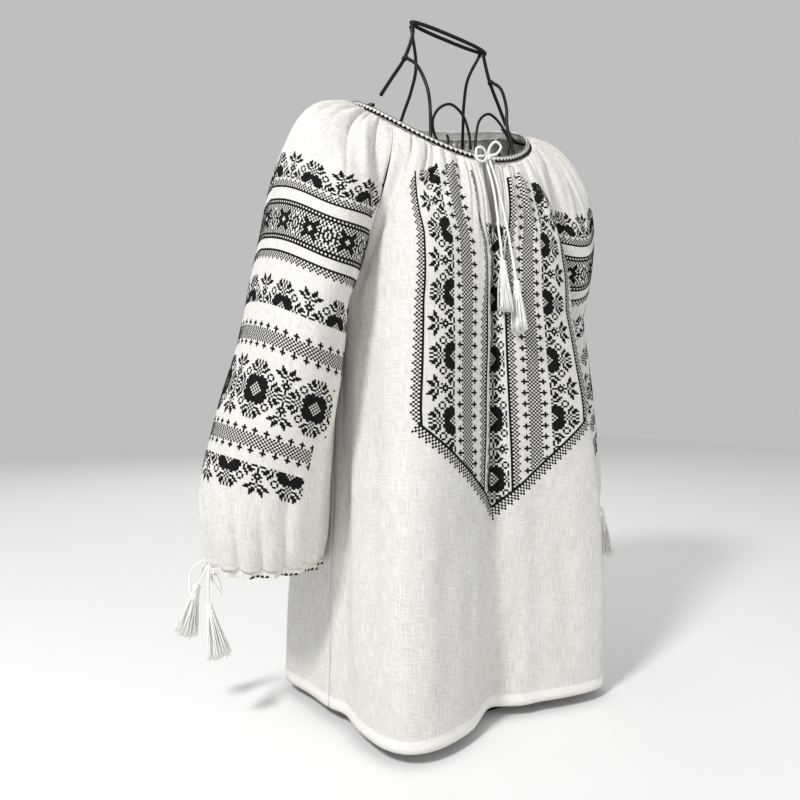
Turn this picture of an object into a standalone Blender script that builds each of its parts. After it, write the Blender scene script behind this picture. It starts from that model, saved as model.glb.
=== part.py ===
"""A gathered, embroidered linen blouse with tie cords and tassels, on a wire dress form.

Metres, +Z up. The blouse faces -Y, and its right sleeve is on the -X side.
"""

import math

import bmesh
import bpy
import numpy as np
from mathutils import Matrix

# Cloth, cord and wire gauges
CLOTH_WALL = 0.0012
SEAM_TRIM = 0.0005
SEAM_GAP = 0.0003
CORD_RADIUS = 0.00125
WIRE_RADIUS = 0.0022
THIN_WIRE_RADIUS = 0.0016

COLLECTION = "blouse_on_form"

# The part stands with the middle of its outline over the origin
PLAN_SHIFT = (-0.0055, 0.0117)

# Neckline: an oval seen from above that dips at the front
NECK_HALF_WIDTH = 0.120
NECK_HALF_DEPTH = 0.088
NECK_TOP = 0.699
NECK_DIP = 0.082
NECK_DIP_POWER = 2.6
NECK_TILT = 0.035
NECKBAND_HEIGHT = 0.009
NECKBAND_WALL = 0.0024
NECKBAND_LIFT = {"middle": 0.0012, "sides": 0.0021}
NECKBAND_GAP_DEG = 7.0
FRONT_SEAM_DEG = 55.0
BACK_SEAM_DEG = 128.0

# Body: sections of a rounded square, by height
UNDERARM_Z = 0.457
HEM_Z = 0.013
SQUARENESS = 2.9
BODY_TABLE = (
    # height, half_width, front_depth, back_depth
    (0.013, 0.151, 0.124, 0.112),
    (0.120, 0.149, 0.122, 0.110),
    (0.230, 0.146, 0.119, 0.107),
    (0.340, 0.143, 0.117, 0.104),
    (0.457, 0.142, 0.113, 0.102),
)
# Deep folds that hang from the bust and the shoulder blades; outward is positive
FLUTE_TABLE = (
    # angle_deg, width_deg, at_hem, at_middle, at_underarm
    (-41.0, 18.0, 0.045, 0.040, 0.018),
    (0.0, 15.0, -0.026, -0.010, -0.004),
    (53.0, 16.0, 0.037, 0.037, 0.012),
    (25.0, 8.0, -0.006, -0.003, 0.000),
    (-78.0, 9.0, -0.008, -0.007, 0.000),
    (-129.0, 15.0, 0.044, 0.040, 0.006),
    (136.0, 15.0, 0.030, 0.018, 0.004),
    (180.0, 20.0, 0.008, 0.004, 0.000),
    (-158.0, 10.0, -0.010, -0.006, -0.001),
    (157.0, 10.0, -0.010, -0.006, -0.001),
)
# Inward pleat under the slit: its half width and depth, by height
PLEAT_TABLE = (
    # height, half_angle_deg, depth
    (0.200, 9.0, 0.004),
    (0.260, 6.0, 0.010),
    (0.340, 4.0, 0.013),
    (0.457, 3.0, 0.012),
)

# Front and back panels above the underarm: Bezier handles at the neckline and at the underarm level
CENTRE_NECK_HANDLE = (0.0, -0.022, -0.045)
SEAM_NECK_HANDLE = (0.012, -0.036, -0.038)
BACK_CENTRE_NECK_HANDLE = (0.0, 0.030, -0.050)
BACK_SEAM_NECK_HANDLE = (0.020, 0.036, -0.026)
CENTRE_LOW_HANDLE = (0.0, 0.0, 0.060)
SEAM_LOW_HANDLE = (-0.014, -0.066, 0.058)

# Slit at the centre front
SLIT_END = 0.62

# Sleeves: rings by height, then the handles of the cap's crown
SLEEVE_TABLES = {
    "R": (
        # height, centre_x, centre_y, half_width, front_depth, back_depth
        (0.181, 0.2115, 0.026, 0.0570, 0.0570, 0.0560),
        (0.200, 0.2130, 0.024, 0.0617, 0.0640, 0.0600),
        (0.226, 0.2150, 0.021, 0.0652, 0.0690, 0.0640),
        (0.270, 0.2150, 0.016, 0.0672, 0.0730, 0.0670),
        (0.330, 0.2085, 0.008, 0.0615, 0.0790, 0.0720),
        (0.400, 0.1985, 0.001, 0.0520, 0.0880, 0.0760),
        (0.457, 0.1900, 0.000, 0.0458, 0.0960, 0.0780),
    ),
    "L": (
        # height, centre_x, centre_y, half_width, front_depth, back_depth
        (0.201, 0.2320, 0.050, 0.0500, 0.0510, 0.0500),
        (0.220, 0.2290, 0.049, 0.0570, 0.0590, 0.0570),
        (0.247, 0.2240, 0.047, 0.0600, 0.0650, 0.0620),
        (0.287, 0.2130, 0.042, 0.0570, 0.0690, 0.0690),
        (0.340, 0.1980, 0.030, 0.0500, 0.0680, 0.0780),
        (0.400, 0.1850, 0.013, 0.0380, 0.0630, 0.0900),
        (0.457, 0.1710, 0.000, 0.0268, 0.0560, 0.1020),
    ),
}
CROWN_NECK_HANDLE = {"R": (0.078, -0.004, 0.008), "L": (0.099, -0.004, 0.016)}
CROWN_LOW_HANDLE = {"R": (-0.024, -0.006, 0.143), "L": (0.056, -0.012, 0.150)}
CUFF_BAND_HEIGHT = 0.008
CUFF_BAND_WALL = 0.0026
CUFF_BAND_LIFT = 0.0012

# Wire form inside: its middle, its plain torso by height, and the wires that show in the neck
FORM_X = 0.007
FORM_SQUARENESS = 2.2
FORM_TABLE = (
    # height, half_width, front_depth, back_depth
    (0.0043, 0.112, 0.078, 0.070),
    (0.130, 0.116, 0.080, 0.074),
    (0.310, 0.092, 0.064, 0.058),
    (0.450, 0.106, 0.074, 0.066),
    (0.520, 0.112, 0.076, 0.070),
)
TOP_RING = {"y": -0.004, "z": 0.792, "half_width": 0.0530, "half_depth": 0.0064, "tilt": -0.09}
# Each wire's points on the form's right side, as distances to the right of its middle
SHOULDER_WIRE = (
    # out, y, height under the top ring
    (0.0520, -0.0060, -0.0031),
    (0.0525, -0.0050, -0.0130),
    (0.0625, -0.0040, -0.0405),
    (0.0780, -0.0020, -0.0660),
    (0.0915, 0.0000, -0.0880),
)
FRONT_WIRE = (
    # out, y, height under the top ring
    (0.0616, -0.0084, -0.0410),
    (0.0600, -0.0300, -0.0580),
    (0.0566, -0.0450, -0.0860),
    (0.0549, -0.0490, -0.1110),
    (0.0595, -0.0580, -0.1520),
    (0.0605, -0.0660, -0.2070),
)
BACK_WIRE = (
    # out, y, height under the top ring
    (0.0500, 0.0012, -0.0026),
    (0.0380, 0.0100, -0.0370),
    (0.0390, 0.0200, -0.0655),
    (0.0445, 0.0300, -0.0920),
    (0.0530, 0.0450, -0.1370),
    (0.0585, 0.0600, -0.2020),
)
SIDE_WIRE = (
    # out, y, height under the top ring
    (0.1480, 0.0, -0.1520),
    (0.1400, 0.0, -0.1860),
    (0.1240, 0.0, -0.2320),
)
SCROLL_WIRE = (
    # out, y, height under the top ring
    (0.0035, -0.0550, -0.1500),
    (0.0050, -0.0540, -0.1320),
    (0.0120, -0.0520, -0.1120),
    (0.0270, -0.0500, -0.1015),
    (0.0430, -0.0495, -0.1090),
    (0.0534, -0.0520, -0.1260),
    (0.0518, -0.0550, -0.1440),
    (0.0430, -0.0570, -0.1535),
    (0.0355, -0.0570, -0.1480),
    (0.0365, -0.0560, -0.1400),
)
RIB_HEIGHTS = (0.52, 0.49, 0.40, 0.31, 0.22, 0.13, 0.06, 0.0047)
HOOPS = (
    # name, height
    ("chest", 0.490),
    ("waist", 0.310),
    ("hip", 0.130),
)
BASE_RING = {"width": 0.014, "thickness": 0.004, "overhang": 0.003}
SHOULDER_BAR = {"width": 0.008, "thickness": 0.003, "inward": 0.026}
SHOULDER_BAR_CLEARANCE = {"R": 0.0010, "L": 0.0018}

# Gathers: how many, how deep and how far they run
FRONT_GATHERS = 20
SLEEVE_GATHERS = 14
GATHER_DEPTH = 0.0021
GATHER_REACH = 0.34
CUFF_GATHER_DEPTH = 0.0030


def spline(table, column, at):
    """A smooth curve through one column of a table, read at some heights in its first column."""
    xs = np.array([row[0] for row in table])
    ys = np.array([row[column] for row in table])
    slopes = np.gradient(ys, xs)
    at = np.clip(at, xs[0], xs[-1])
    i = np.clip(np.searchsorted(xs, at, side="right") - 1, 0, len(xs) - 2)
    span = xs[i + 1] - xs[i]
    t = (at - xs[i]) / span
    return (
        ys[i] * (2 * t**3 - 3 * t**2 + 1)
        + ys[i + 1] * (3 * t**2 - 2 * t**3)
        + slopes[i] * span * (t**3 - 2 * t**2 + t)
        + slopes[i + 1] * span * (t**3 - t**2)
    )


def stack(x, y, z):
    return np.stack(np.broadcast_arrays(x, y, z), axis=-1).astype(float)


def bezier(p0, p1, p2, p3, t):
    t = np.asarray(t, float)[..., None]
    return p0 * (1 - t) ** 3 + 3 * p1 * t * (1 - t) ** 2 + 3 * p2 * t**2 * (1 - t) + p3 * t**3


def bump(x):
    return np.exp(-(x**2))


def angle_from(a, b):
    """The signed difference of two angles in degrees, from -180 to 180."""
    return (a - b + 180.0) % 360.0 - 180.0


def neckline(deg):
    """A point of the cloth's upper edge; 0 is the centre front and 90 the blouse's left."""
    t = np.radians(deg)
    x = NECK_HALF_WIDTH * np.sin(t)
    height = NECK_TOP + NECK_TILT * x - NECK_DIP * ((1 + np.cos(t)) / 2) ** NECK_DIP_POWER
    return stack(x, -NECK_HALF_DEPTH * np.cos(t), height)


def body(deg, z):
    """A point of the body's cloth at some angle and height, at or below the underarm."""
    t = np.radians(deg)
    width = spline(BODY_TABLE, 1, z)
    depth = np.where(np.cos(t) > 0, spline(BODY_TABLE, 2, z), spline(BODY_TABLE, 3, z))
    radius = (np.abs(np.sin(t) / width) ** SQUARENESS + np.abs(np.cos(t) / depth) ** SQUARENESS) ** (
        -1 / SQUARENESS
    )
    fall = (UNDERARM_Z - z) / (UNDERARM_Z - HEM_Z)
    for angle, spread, at_hem, at_middle, at_underarm in FLUTE_TABLE:
        depth_here = (
            at_underarm * (1 - fall) * (1 - 2 * fall)
            + 4 * at_middle * fall * (1 - fall)
            + at_hem * fall * (2 * fall - 1)
        )
        radius = radius + depth_here * bump(angle_from(deg, angle) / spread)
    pleat = spline(PLEAT_TABLE, 2, z) * np.clip((z - 0.14) / 0.06, 0, 1)
    radius = radius - pleat * bump(deg / spline(PLEAT_TABLE, 1, z))
    return stack(radius * np.sin(t), -radius * np.cos(t), z)


def mixed(first, second, share):
    share = np.asarray(share, float)[..., None]
    return np.array(first) * (1 - share) + np.array(second) * share


def signed(handle, side):
    """A handle with its x pointing to one side, -1 right and 1 left."""
    return np.array(handle) * np.stack([side, np.ones_like(side), np.ones_like(side)], axis=-1)


def front(u, s):
    """The front panel: u from -1 at the right seam to 1 at the left.

    s runs from 0 at the neckline through 1 at the underarm to 2 at the hem.
    """
    u, s = np.broadcast_arrays(np.asarray(u, float), np.asarray(s, float))
    side = np.sign(u)
    top, low = neckline(u * FRONT_SEAM_DEG), body(u * 90.0, UNDERARM_Z)
    neck_handle = signed(mixed(CENTRE_NECK_HANDLE, SEAM_NECK_HANDLE, np.abs(u) ** 2), side)
    low_handle = signed(mixed(CENTRE_LOW_HANDLE, SEAM_LOW_HANDLE, np.abs(u) ** 5), side)
    upper = bezier(top, top + neck_handle, low + low_handle, low, np.minimum(s, 1))
    z = UNDERARM_Z + (HEM_Z - UNDERARM_Z) * np.clip(s - 1, 0, 1)
    return np.where(s[..., None] <= 1, upper, body(u * 90.0, z))


def back(u, s):
    """The back panel: u from -1 at the left seam to 1 at the right, s as on the front."""
    u, s = np.broadcast_arrays(np.asarray(u, float), np.asarray(s, float))
    side = -np.sign(u)
    top = neckline(180.0 + u * (180.0 - BACK_SEAM_DEG))
    low = body(180.0 + u * 90.0, UNDERARM_Z)
    neck_handle = signed(mixed(BACK_CENTRE_NECK_HANDLE, BACK_SEAM_NECK_HANDLE, np.abs(u) ** 2), side)
    backward = np.array(SEAM_LOW_HANDLE) * (1, -1, 1)
    low_handle = signed(mixed(CENTRE_LOW_HANDLE, backward, np.abs(u) ** 5), side)
    upper = bezier(top, top + neck_handle, low + low_handle, low, np.minimum(s, 1))
    z = UNDERARM_Z + (HEM_Z - UNDERARM_Z) * np.clip(s - 1, 0, 1)
    return np.where(s[..., None] <= 1, upper, body(180.0 + u * 90.0, z))


def sleeve(name, w, s):
    """A sleeve: w from 0 at the front seam over the arm to 1 at the back seam.

    s runs from 0 at the neckline through 1 at the underarm to 2 at the cuff.
    """
    w, s = np.broadcast_arrays(np.asarray(w, float), np.asarray(s, float))
    side = np.full_like(w, -1.0 if name == "R" else 1.0)
    table = SLEEVE_TABLES[name]
    turn = 2 * np.pi * (w - 0.5)
    z = UNDERARM_Z + (table[0][0] - UNDERARM_Z) * np.clip(s - 1, 0, 1)
    depth = np.where(turn < 0, spline(table, 4, z), spline(table, 5, z))
    out = spline(table, 1, z) + spline(table, 3, z) * np.cos(turn)
    ring = stack(side * out, spline(table, 2, z) + depth * np.sin(turn), z)
    top = neckline(side * (FRONT_SEAM_DEG + w * (BACK_SEAM_DEG - FRONT_SEAM_DEG)))
    crown = np.clip(np.sin(np.pi * w), 0, 1) ** 1.5
    seam_neck = mixed(SEAM_NECK_HANDLE, BACK_SEAM_NECK_HANDLE, w)
    seam_low = mixed(SEAM_LOW_HANDLE, np.array(SEAM_LOW_HANDLE) * (1, -1, 1), w)
    neck_handle = seam_neck + (np.array(CROWN_NECK_HANDLE[name]) - seam_neck) * crown[..., None]
    low_handle = seam_low + (np.array(CROWN_LOW_HANDLE[name]) - seam_low) * crown[..., None]
    handles = top + signed(neck_handle, side), ring + signed(low_handle, side)
    upper = bezier(top, *handles, ring, np.minimum(s, 1))
    return np.where(s[..., None] <= 1, upper, ring)


def normals(surface, a, s):
    """Unit normals of a surface, by small steps along both of its parameters."""
    step = 1e-4
    across = surface(a + step, s) - surface(a - step, s)
    down = surface(a, s + step) - surface(a, s - step)
    n = np.cross(down, across)
    return n / np.maximum(np.linalg.norm(n, axis=-1, keepdims=True), 1e-12)


def gather(k, count, s, reach):
    """Depth of the neck gathers: k counts half gathers along the edge, s runs down from it."""
    own_reach = reach * (1 + 0.35 * np.sin(1.9 * k + 0.7))
    fade = np.clip(1 - s / own_reach, 0, 1) ** 1.5 * (0.45 + 0.55 * np.clip(s / 0.05, 0, 1))
    ends = np.clip(np.minimum(k, 2 * count - k) / 2.0, 0, 1)
    return np.cos(np.pi * k) * fade * ends * (1 + 0.3 * np.sin(2.7 * k))


def link(obj, material):
    bpy.data.collections[COLLECTION].objects.link(obj)
    obj.data.materials.clear()
    obj.data.materials.append(material)
    return obj


def stitch_rows(upper, lower):
    """Faces between two rows of points, where one row may have half as many spaces."""
    faces = []
    if len(upper) == len(lower):
        for i in range(len(upper) - 1):
            faces.append((upper[i], lower[i], lower[i + 1], upper[i + 1]))
    elif len(upper) > len(lower):
        for i in range(len(lower) - 1):
            a, b, c = upper[2 * i : 2 * i + 3]
            d, e = lower[i : i + 2]
            faces += [(a, d, b), (b, d, e), (b, e, c)]
    else:
        for i in range(len(upper) - 1):
            a, b = upper[i : i + 2]
            c, d, e = lower[2 * i : 2 * i + 3]
            faces += [(a, c, d), (a, d, b), (b, d, e)]
    return faces


def sheet(name, halves, material, outward):
    """A cloth wall from rows of points: each half is a list of rows, and equal points are shared."""
    points, index, faces = [], {}, []

    def number(p):
        key = tuple(np.round(p, 7))
        if key not in index:
            index[key] = len(points)
            points.append(key)
        return index[key]

    for rows in halves:
        numbered = [[number(p) for p in row] for row in rows]
        for upper, lower in zip(numbered, numbered[1:]):
            faces += stitch_rows(upper, lower)
    if not outward:
        faces = [face[::-1] for face in faces]
    mesh = bpy.data.meshes.new(name)
    mesh.from_pydata(points, [], faces)
    mesh.shade_smooth()
    return walled(link(bpy.data.objects.new(name, mesh), material), CLOTH_WALL)


def walled(obj, thickness):
    """Gives an open surface its wall, half of it on each side."""
    wall = obj.modifiers.new("wall", "SOLIDIFY")
    wall.thickness = thickness
    wall.offset = 0.0
    return obj


# Columns of the cloth pieces. Each list is for half a piece, from its middle to its seam
FRONT_COLUMNS = (0.0, 0.03, 0.065, 0.11, 0.16, 0.23, 0.31, 0.40, 0.49, 0.58, 0.67, 0.78, 0.89, 1.0)
BACK_COLUMNS = tuple(i / 10 for i in range(11))
NECK_ROWS = (0.0, 0.035, 0.09, 0.16, 0.25, 0.36)
FRONT_LOWER_ROWS = (0.48, 0.62, 0.80, 1.0, 1.14, 1.29, 1.45, 1.62, 1.80, 1.97)
BACK_LOWER_ROWS = (0.50, 0.66, 0.83, 1.0, 1.17, 1.35, 1.55, 1.76, 1.97)
HEM_ROWS = (1.97, 2.0)
SLEEVE_LOWER_ROWS = (0.48, 0.62, 0.80, 1.0, 1.22, 1.44, 1.66, 1.82)
CUFF_ROWS = (1.90, 1.96, 2.0)


def doubled(columns):
    """The same columns with one more in each space."""
    return np.interp(np.arange(2 * len(columns) - 1) / 2, np.arange(len(columns)), columns)


def slit(s):
    """How far the slit pushes the front's middle edge sideways, as a share of the half panel."""
    return 0.094 * np.clip(1 - s / SLIT_END, 0, 1) ** 0.85


def front_cloth(u, s):
    """The front with its slit and gathers; negative zero is the right edge of the slit."""
    u, s = np.broadcast_arrays(np.asarray(u, float), np.asarray(s, float))
    side = np.copysign(1.0, u)
    spread = np.abs(u) + slit(s) * (1 - np.abs(u)) ** 2
    at = side * spread
    even = np.interp(np.abs(u), FRONT_COLUMNS, np.linspace(0, 1, len(FRONT_COLUMNS)))
    k = FRONT_GATHERS * (1 + even * side)
    deep = GATHER_DEPTH * gather(k, FRONT_GATHERS, s, GATHER_REACH)
    return front(at, s) + normals(front, at, s) * deep[..., None]


def back_cloth(u, s):
    u, s = np.broadcast_arrays(np.asarray(u, float), np.asarray(s, float))
    k = FRONT_GATHERS * (1 + u)
    deep = GATHER_DEPTH * gather(k, FRONT_GATHERS, s, GATHER_REACH)
    return back(u, s) + normals(back, u, s) * deep[..., None]


def sleeve_cloth(name, w, s):
    w, s = np.broadcast_arrays(np.asarray(w, float), np.asarray(s, float))

    def surface(a, b):
        return sleeve(name, a, b)

    facing = -1.0 if name == "R" else 1.0
    k = 2 * SLEEVE_GATHERS * w
    deep = GATHER_DEPTH * gather(k, SLEEVE_GATHERS, s, GATHER_REACH)
    low = np.clip((s - 1.80) / 0.20, 0, 1) ** 1.3
    low *= 1 - 0.35 * np.clip((s - 1.93) / 0.07, 0, 1)
    deep = deep + CUFF_GATHER_DEPTH * np.cos(np.pi * k) * low
    return surface(w, s) + facing * normals(surface, w, s) * deep[..., None]


def trimmed(points):
    """Rows of points with both ends drawn in along the cloth, to leave the seam's gap."""
    points = points.copy()
    for end, inner in ((0, 1), (-1, -2)):
        step = points[:, inner] - points[:, end]
        points[:, end] += step / np.linalg.norm(step, axis=-1, keepdims=True) * SEAM_TRIM
    return points


def panel_rows(cloth, columns, upper_rows, lower_rows):
    """Rows of a panel: twice the columns through the gathers, then one column for each."""
    fine = doubled(columns)
    rows = [cloth(fine, s) for s in upper_rows]
    rows += [cloth(np.asarray(columns, float), s) for s in lower_rows]
    return rows


def make_front(material):
    halves = []
    for side in (-1.0, 1.0):

        def half(u, s):
            points = front_cloth(np.copysign(np.asarray(u, float), side), s)[None]
            edge = points.copy()
            step = edge[:, -2] - edge[:, -1]
            edge[:, -1] += step / np.linalg.norm(step, axis=-1, keepdims=True) * SEAM_TRIM
            return edge[0]

        rows = panel_rows(half, FRONT_COLUMNS, NECK_ROWS, FRONT_LOWER_ROWS + (2.0,))
        halves.append(rows if side > 0 else [row[::-1] for row in rows])
    return sheet("front", halves, material, True)


def make_back(material):
    whole = tuple(-c for c in BACK_COLUMNS[:0:-1]) + BACK_COLUMNS

    def cloth(u, s):
        return trimmed(back_cloth(u, s)[None])[0]

    rows = panel_rows(cloth, whole, NECK_ROWS, BACK_LOWER_ROWS + (2.0,))
    return sheet("back", [rows], material, True)


def make_sleeve(name, material):
    fine = np.arange(2 * SLEEVE_GATHERS + 1) / (2 * SLEEVE_GATHERS)
    coarse = fine[::2]

    def cloth(w, s):
        points = sleeve_cloth(name, w, s)
        return trimmed(points[None])[0] if s < 1 else points

    rows = [cloth(fine, s) for s in NECK_ROWS]
    rows += [cloth(coarse, s) for s in SLEEVE_LOWER_ROWS]
    rows += [cloth(fine, s) for s in CUFF_ROWS]
    return sheet({"R": "sleeve_right", "L": "sleeve_left"}[name], [rows], material, name == "L")


def wire(name, path, radius, material, closed=False, resolution=1):
    """A round wire or cord: a curve through a path of points, with a round bevel."""
    curve = bpy.data.curves.new(name, "CURVE")
    curve.dimensions = "3D"
    curve.bevel_depth = radius
    curve.bevel_resolution = resolution
    curve.use_fill_caps = True
    line = curve.splines.new("POLY")
    line.points.add(len(path) - 1)
    line.use_cyclic_u = closed
    for point, place in zip(line.points, path):
        point.co = (*place, 1.0)
    return link(bpy.data.objects.new(name, curve), material)


def strip(name, lower, upper, thickness, material, closed=False):
    """A flat band between two lines of points, with its wall."""
    count = len(lower)
    faces = []
    for i in range(count if closed else count - 1):
        j = (i + 1) % count
        faces.append((i, j, count + j, count + i))
    mesh = bpy.data.meshes.new(name)
    mesh.from_pydata([tuple(p) for p in (*lower, *upper)], [], faces)
    return walled(link(bpy.data.objects.new(name, mesh), material), thickness)


def smooth_path(points, steps):
    """A smooth line through some points, with the given number of spaces between each two."""
    points = np.asarray(points, float)
    slopes = np.gradient(points, axis=0)
    found = []
    for i in range(len(points) - 1):
        for t in np.arange(steps) / steps:
            found.append(
                points[i] * (2 * t**3 - 3 * t**2 + 1)
                + points[i + 1] * (3 * t**2 - 2 * t**3)
                + slopes[i] * (t**3 - 2 * t**2 + t)
                + slopes[i + 1] * (t**3 - t**2)
            )
    found.append(points[-1])
    return np.array(found)


def neckband_up(degrees):
    """The band's own upward direction: it leans in with the slope of the cloth under it."""
    t = np.radians(degrees)
    out = stack(np.sin(t), -np.cos(t), 0.0)
    lean = 0.34 + 0.40 * np.sin(t) ** 2 + 0.14 * (1 - np.cos(t)) / 2
    up = stack(0.0, 0.0, 1.0) - out * lean[..., None]
    return up / np.linalg.norm(up, axis=-1, keepdims=True)


def neckband_path(degrees, lift):
    """A line along the neckband, some height above its lower edge."""
    share = np.sin(np.radians(degrees)) ** 2
    own = NECKBAND_LIFT["middle"] * (1 - share) + NECKBAND_LIFT["sides"] * share + lift
    return neckline(degrees) + neckband_up(degrees) * own[..., None]


def make_neckband(material):
    degrees = np.linspace(NECKBAND_GAP_DEG, 360 - NECKBAND_GAP_DEG, 49)
    lower = neckband_path(degrees, 0.0)
    upper = neckband_path(degrees, NECKBAND_HEIGHT)
    return strip("neckband", lower, upper, NECKBAND_WALL, material)


def cuff_ring(name, w, lift):
    """A point of the sleeve's end, some way below its edge."""
    ring = sleeve(name, w, 2.0)
    below = sleeve(name, w, 1.97)
    down = ring - below
    down /= np.linalg.norm(down, axis=-1, keepdims=True)
    down = down * 0.35 + np.array((0.0, 0.0, -0.65))
    return ring + down * lift


def make_cuff(name, material):
    w = np.arange(2 * SLEEVE_GATHERS) / (2 * SLEEVE_GATHERS)
    upper = cuff_ring(name, w, CUFF_BAND_LIFT)
    lower = cuff_ring(name, w, CUFF_BAND_LIFT + CUFF_BAND_HEIGHT)
    label = {"R": "cuff_right", "L": "cuff_left"}[name]
    turned = (lower, upper) if name == "L" else (lower[::-1], upper[::-1])
    return strip(label, *turned, CUFF_BAND_WALL, material, closed=True)


def mesh_of(curve):
    """Turns a wire into a closed mesh object with the same name."""
    name = curve.name
    bpy.context.view_layer.update()
    graph = bpy.context.evaluated_depsgraph_get()
    data = bpy.data.meshes.new_from_object(curve.evaluated_get(graph))
    mesh = bmesh.new()
    mesh.from_mesh(data)
    bmesh.ops.remove_doubles(mesh, verts=mesh.verts, dist=1e-6)
    bmesh.ops.recalc_face_normals(mesh, faces=mesh.faces)
    mesh.to_mesh(data)
    mesh.free()
    material = curve.data.materials[0]
    bpy.data.objects.remove(curve)
    return link(bpy.data.objects.new(name, data), material)


def ball(name, centre, size, material):
    """A small egg shape with given half sizes."""
    mesh = bmesh.new()
    scale = Matrix.Translation(centre) @ Matrix.Diagonal((*size, 1.0))
    bmesh.ops.create_uvsphere(mesh, u_segments=8, v_segments=5, radius=1.0, matrix=scale)
    data = bpy.data.meshes.new(name)
    mesh.to_mesh(data)
    mesh.free()
    return link(bpy.data.objects.new(name, data), material)


def joined(name, shapes, material):
    """One solid from closed meshes that run into each other."""
    first = shapes[0]
    for other in shapes[1:]:
        union = first.modifiers.new("union", "BOOLEAN")
        union.operation = "UNION"
        union.solver = "MANIFOLD"
        union.object = other
        other.hide_render = True
        other.hide_set(True)
    bpy.context.view_layer.update()
    graph = bpy.context.evaluated_depsgraph_get()
    data = bpy.data.meshes.new_from_object(first.evaluated_get(graph))
    data.name = name
    for obj in shapes:
        bpy.data.objects.remove(obj)
    data.shade_smooth()
    return link(bpy.data.objects.new(name, data), material)


def make_tassel(name, head, direction, size, turn, material):
    """A wound head and, under it, 24 strands that stand apart below their shared root."""
    length, spread = size["length"], size["spread"]
    axis = np.array(direction, float)
    axis /= np.linalg.norm(axis)
    side = np.cross(axis, (0.0, 1.0, 0.1))
    side /= np.linalg.norm(side)
    third = np.cross(axis, side)
    mesh = bmesh.new()
    sides = 12
    levels = (
        # down, radius
        (0.0, 0.0016),
        (0.0022, 0.0044),
        (0.0055, 0.0036),
        (0.0085, 0.0056),
    )

    def around(j, radius):
        a = 2 * np.pi * (j + turn) / sides
        return radius * (side * math.cos(a) + third * math.sin(a))

    rings = []
    for down, radius in levels:
        rings.append([mesh.verts.new(head + axis * down + around(j, radius)) for j in range(sides)])
    mesh.faces.new(rings[0])
    for upper, lower in zip(rings, rings[1:]):
        for j in range(sides):
            mesh.faces.new((upper[j], lower[j], lower[(j + 1) % sides], upper[(j + 1) % sides]))
    # The underside: an outer ring of cells and an inner ring
    root = head + axis * levels[-1][0]
    half = sides // 2
    inner = [mesh.verts.new(root + around(2 * j, 0.0032)) for j in range(half)]
    centre = mesh.verts.new(root)
    cells = []
    for j in range(half):
        a, b, c = rings[-1][2 * j], rings[-1][2 * j + 1], rings[-1][(2 * j + 2) % sides]
        d, e = inner[j], inner[(j + 1) % half]
        for corners in ((a, d, b), (b, d, e), (b, e, c), (d, centre, e)):
            cells.append(mesh.faces.new(corners))
    bmesh.ops.recalc_face_normals(mesh, faces=mesh.faces)
    for number, cell in enumerate(cells):
        offset = np.array(cell.calc_center_median()) - root
        own = length * (0.93 + 0.07 * math.sin(2.3 * number))
        bmesh.ops.inset_individual(mesh, faces=[cell], thickness=0.00022, depth=0.0)
        face = bmesh.ops.extrude_discrete_faces(mesh, faces=[cell])["faces"][0]
        now = np.array(face.calc_center_median())
        target = root + axis * own + offset * spread
        for vert in face.verts:
            vert.co = target + (np.array(vert.co) - now) * (1 + (spread - 1) * 0.45)
    data = bpy.data.meshes.new(name)
    bmesh.ops.recalc_face_normals(mesh, faces=mesh.faces)
    mesh.to_mesh(data)
    mesh.free()
    return link(bpy.data.objects.new(name, data), material)


def form_section(deg, z, inset=0.0):
    """A point of the form's torso, at some angle and height."""
    t = np.radians(deg)
    width = spline(FORM_TABLE, 1, z) - inset
    depth = np.where(np.cos(t) > 0, spline(FORM_TABLE, 2, z), spline(FORM_TABLE, 3, z)) - inset
    power = FORM_SQUARENESS
    radius = (np.abs(np.sin(t) / width) ** power + np.abs(np.cos(t) / depth) ** power) ** (-1 / power)
    return stack(FORM_X + radius * np.sin(t), -radius * np.cos(t), z)


def on_side(table, side):
    """Points of a wire on one side of the form, -1 right and 1 left."""
    return np.array([(FORM_X + side * out, y, TOP_RING["z"] + drop) for out, y, drop in table])


def make_rib(name, table, side, deg, radius, material):
    upper = on_side(table, side)
    if table[0][2] > -0.01:
        # A wire that starts at the top ring follows the ring's tilt
        upper[0, 2] += TOP_RING["tilt"] * (upper[0, 0] - FORM_X)
    lower = form_section(side * deg, np.array(RIB_HEIGHTS))
    path = smooth_path(np.concatenate([upper, lower]), 2)
    return wire(name, path, radius, material)


def shoulder_bar_path(name):
    """The bar that the cloth rests on: under the crown of the sleeve, by the depth of its gathers."""
    side = -1.0 if name == "R" else 1.0
    s = np.array((0.05, 0.13, 0.20, 0.27, 0.335))
    base = sleeve(name, 0.5, s)
    nearby = np.linspace(0.46, 0.54, 9)
    cloth = np.array([[sleeve_cloth(name, w, value) - sleeve(name, w, value) for w in nearby] for value in s])
    out = side * normals(lambda a, b: sleeve(name, a, b), np.full_like(s, 0.5), s)
    deepest = np.array([(cloth[i] @ out[i]).min() for i in range(len(s))])
    drop = CLOTH_WALL / 2 + SHOULDER_BAR_CLEARANCE[name] + SHOULDER_BAR["thickness"] / 2 - deepest
    path = base - out * drop[:, None]
    edge = neckline(side * (FRONT_SEAM_DEG + BACK_SEAM_DEG) / 2)
    inside = edge + np.array((-side * SHOULDER_BAR["inward"], 0.0, 0.010))
    under = edge + np.array((-side * 0.006, 0.0, -0.0042))
    path = np.concatenate([[inside, under], path])
    out = np.concatenate([[out[0], out[0]], out])
    return path, out


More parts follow.
